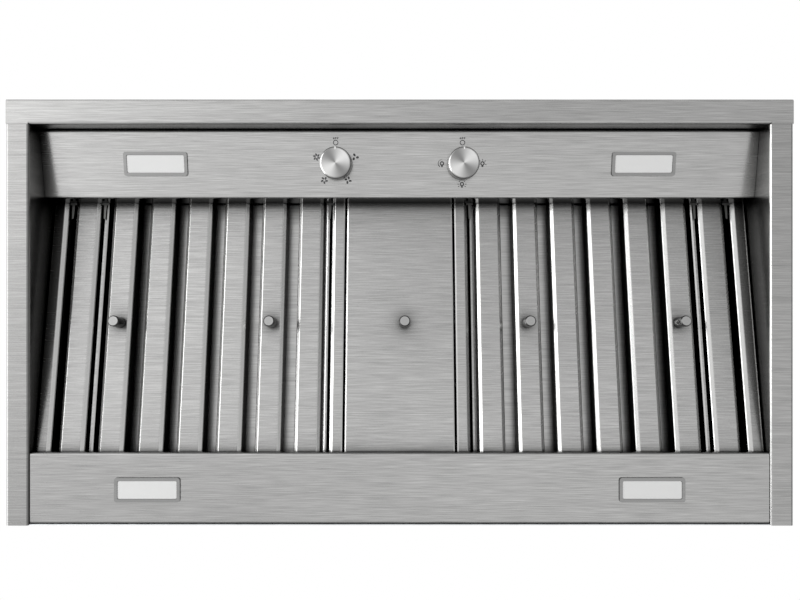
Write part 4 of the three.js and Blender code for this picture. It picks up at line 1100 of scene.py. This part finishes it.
floor.location = (0, 0, FLOOR_Z)
scene.collection.objects.link(floor)


def area_light(name, location, target, size, power):
    light = bpy.data.lights.new(name, "AREA")
    light.shape = "RECTANGLE"
    light.size, light.size_y = size
    light.energy = power
    lamp = bpy.data.objects.new(name, light)
    lamp.location = location
    way = Vector(target) - Vector(location)
    lamp.rotation_euler = way.to_track_quat("-Z", "Y").to_euler()
    lamp.visible_camera = False
    scene.collection.objects.link(lamp)
    return light


def soften(light, power):
    """Lets a softbox fade from its middle to its edges."""
    light.use_nodes = True
    tree = light.node_tree
    spot = tree.nodes.new("ShaderNodeSeparateXYZ")
    geometry = tree.nodes.new("ShaderNodeNewGeometry")
    tree.links.new(geometry.outputs["Parametric"], spot.inputs[0])
    fade = (("SUBTRACT", 0.5), ("ABSOLUTE", 0), ("MULTIPLY", -2), ("ADD", 1), ("POWER", power))
    across, along = [chained(tree, output, *fade) for output in spot.outputs[:2]]
    level = chained(tree, across, ("MULTIPLY", along))
    tree.links.new(level, tree.nodes["Emission"].inputs["Strength"])


def flag(name, corner, across, up):
    """A grey card that only reflections see, which sets the outer folds off from the white."""
    mesh = bmesh.new()
    start, across, up = Vector(corner), Vector(across), Vector(up)
    corners = (start, start + across, start + across + up, start + up)
    mesh.faces.new([mesh.verts.new(at) for at in corners])
    data = bpy.data.meshes.new(name)
    mesh.to_mesh(data)
    mesh.free()
    data.materials.append(flag_shader.material)
    card = bpy.data.objects.new(name, data)
    for kind in ("camera", "diffuse", "shadow", "transmission"):
        setattr(card, f"visible_{kind}", False)
    scene.collection.objects.link(card)


FLAG_GREY = (0.35, 0.35, 0.35, 1)
FLAG_FOOT = -1.05
FLAG_UP = (0, 0, 1.05)
flag_shader = Shader("flag_card")
flag_shader.set(Base_Color=FLAG_GREY, Roughness=0.9)
flag("right_flag", (2.3, -1.8, FLAG_FOOT), (0, 3.6, 0), FLAG_UP)
flag("front_flag", (-1.4, -2.3, FLAG_FOOT), (3.7, 0, 0), FLAG_UP)
flag("rear_flag", (-1.4, 2.3, FLAG_FOOT), (3.7, 0, 0), FLAG_UP)

BELOW, BELOW_TARGET = (-1.35, -0.95, -1.2), (-1.35, -0.95, 1)
FILL, FILL_TARGET = (0.5, 0.45, -1.3), (0.5, 0.45, 1)
LEFT, LEFT_TARGET = (-1.75, -0.1, -0.8), (0, -0.1, -0.8)
OVERHEAD, OVERHEAD_TARGET = (-0.7, -0.9, 2.2), (0, 0, 0.2)
main = area_light("below_softbox", BELOW, BELOW_TARGET, size=(3.4, 2.8), power=33)
soften(main, power=1.15)
fill = area_light("fill_softbox", FILL, FILL_TARGET, size=(5.0, 2.4), power=16)
soften(fill, power=1.0)
area_light("left_softbox", LEFT, LEFT_TARGET, size=(2.4, 1.0), power=42)
area_light("overhead_softbox", OVERHEAD, OVERHEAD_TARGET, size=(1.8, 1.8), power=18)
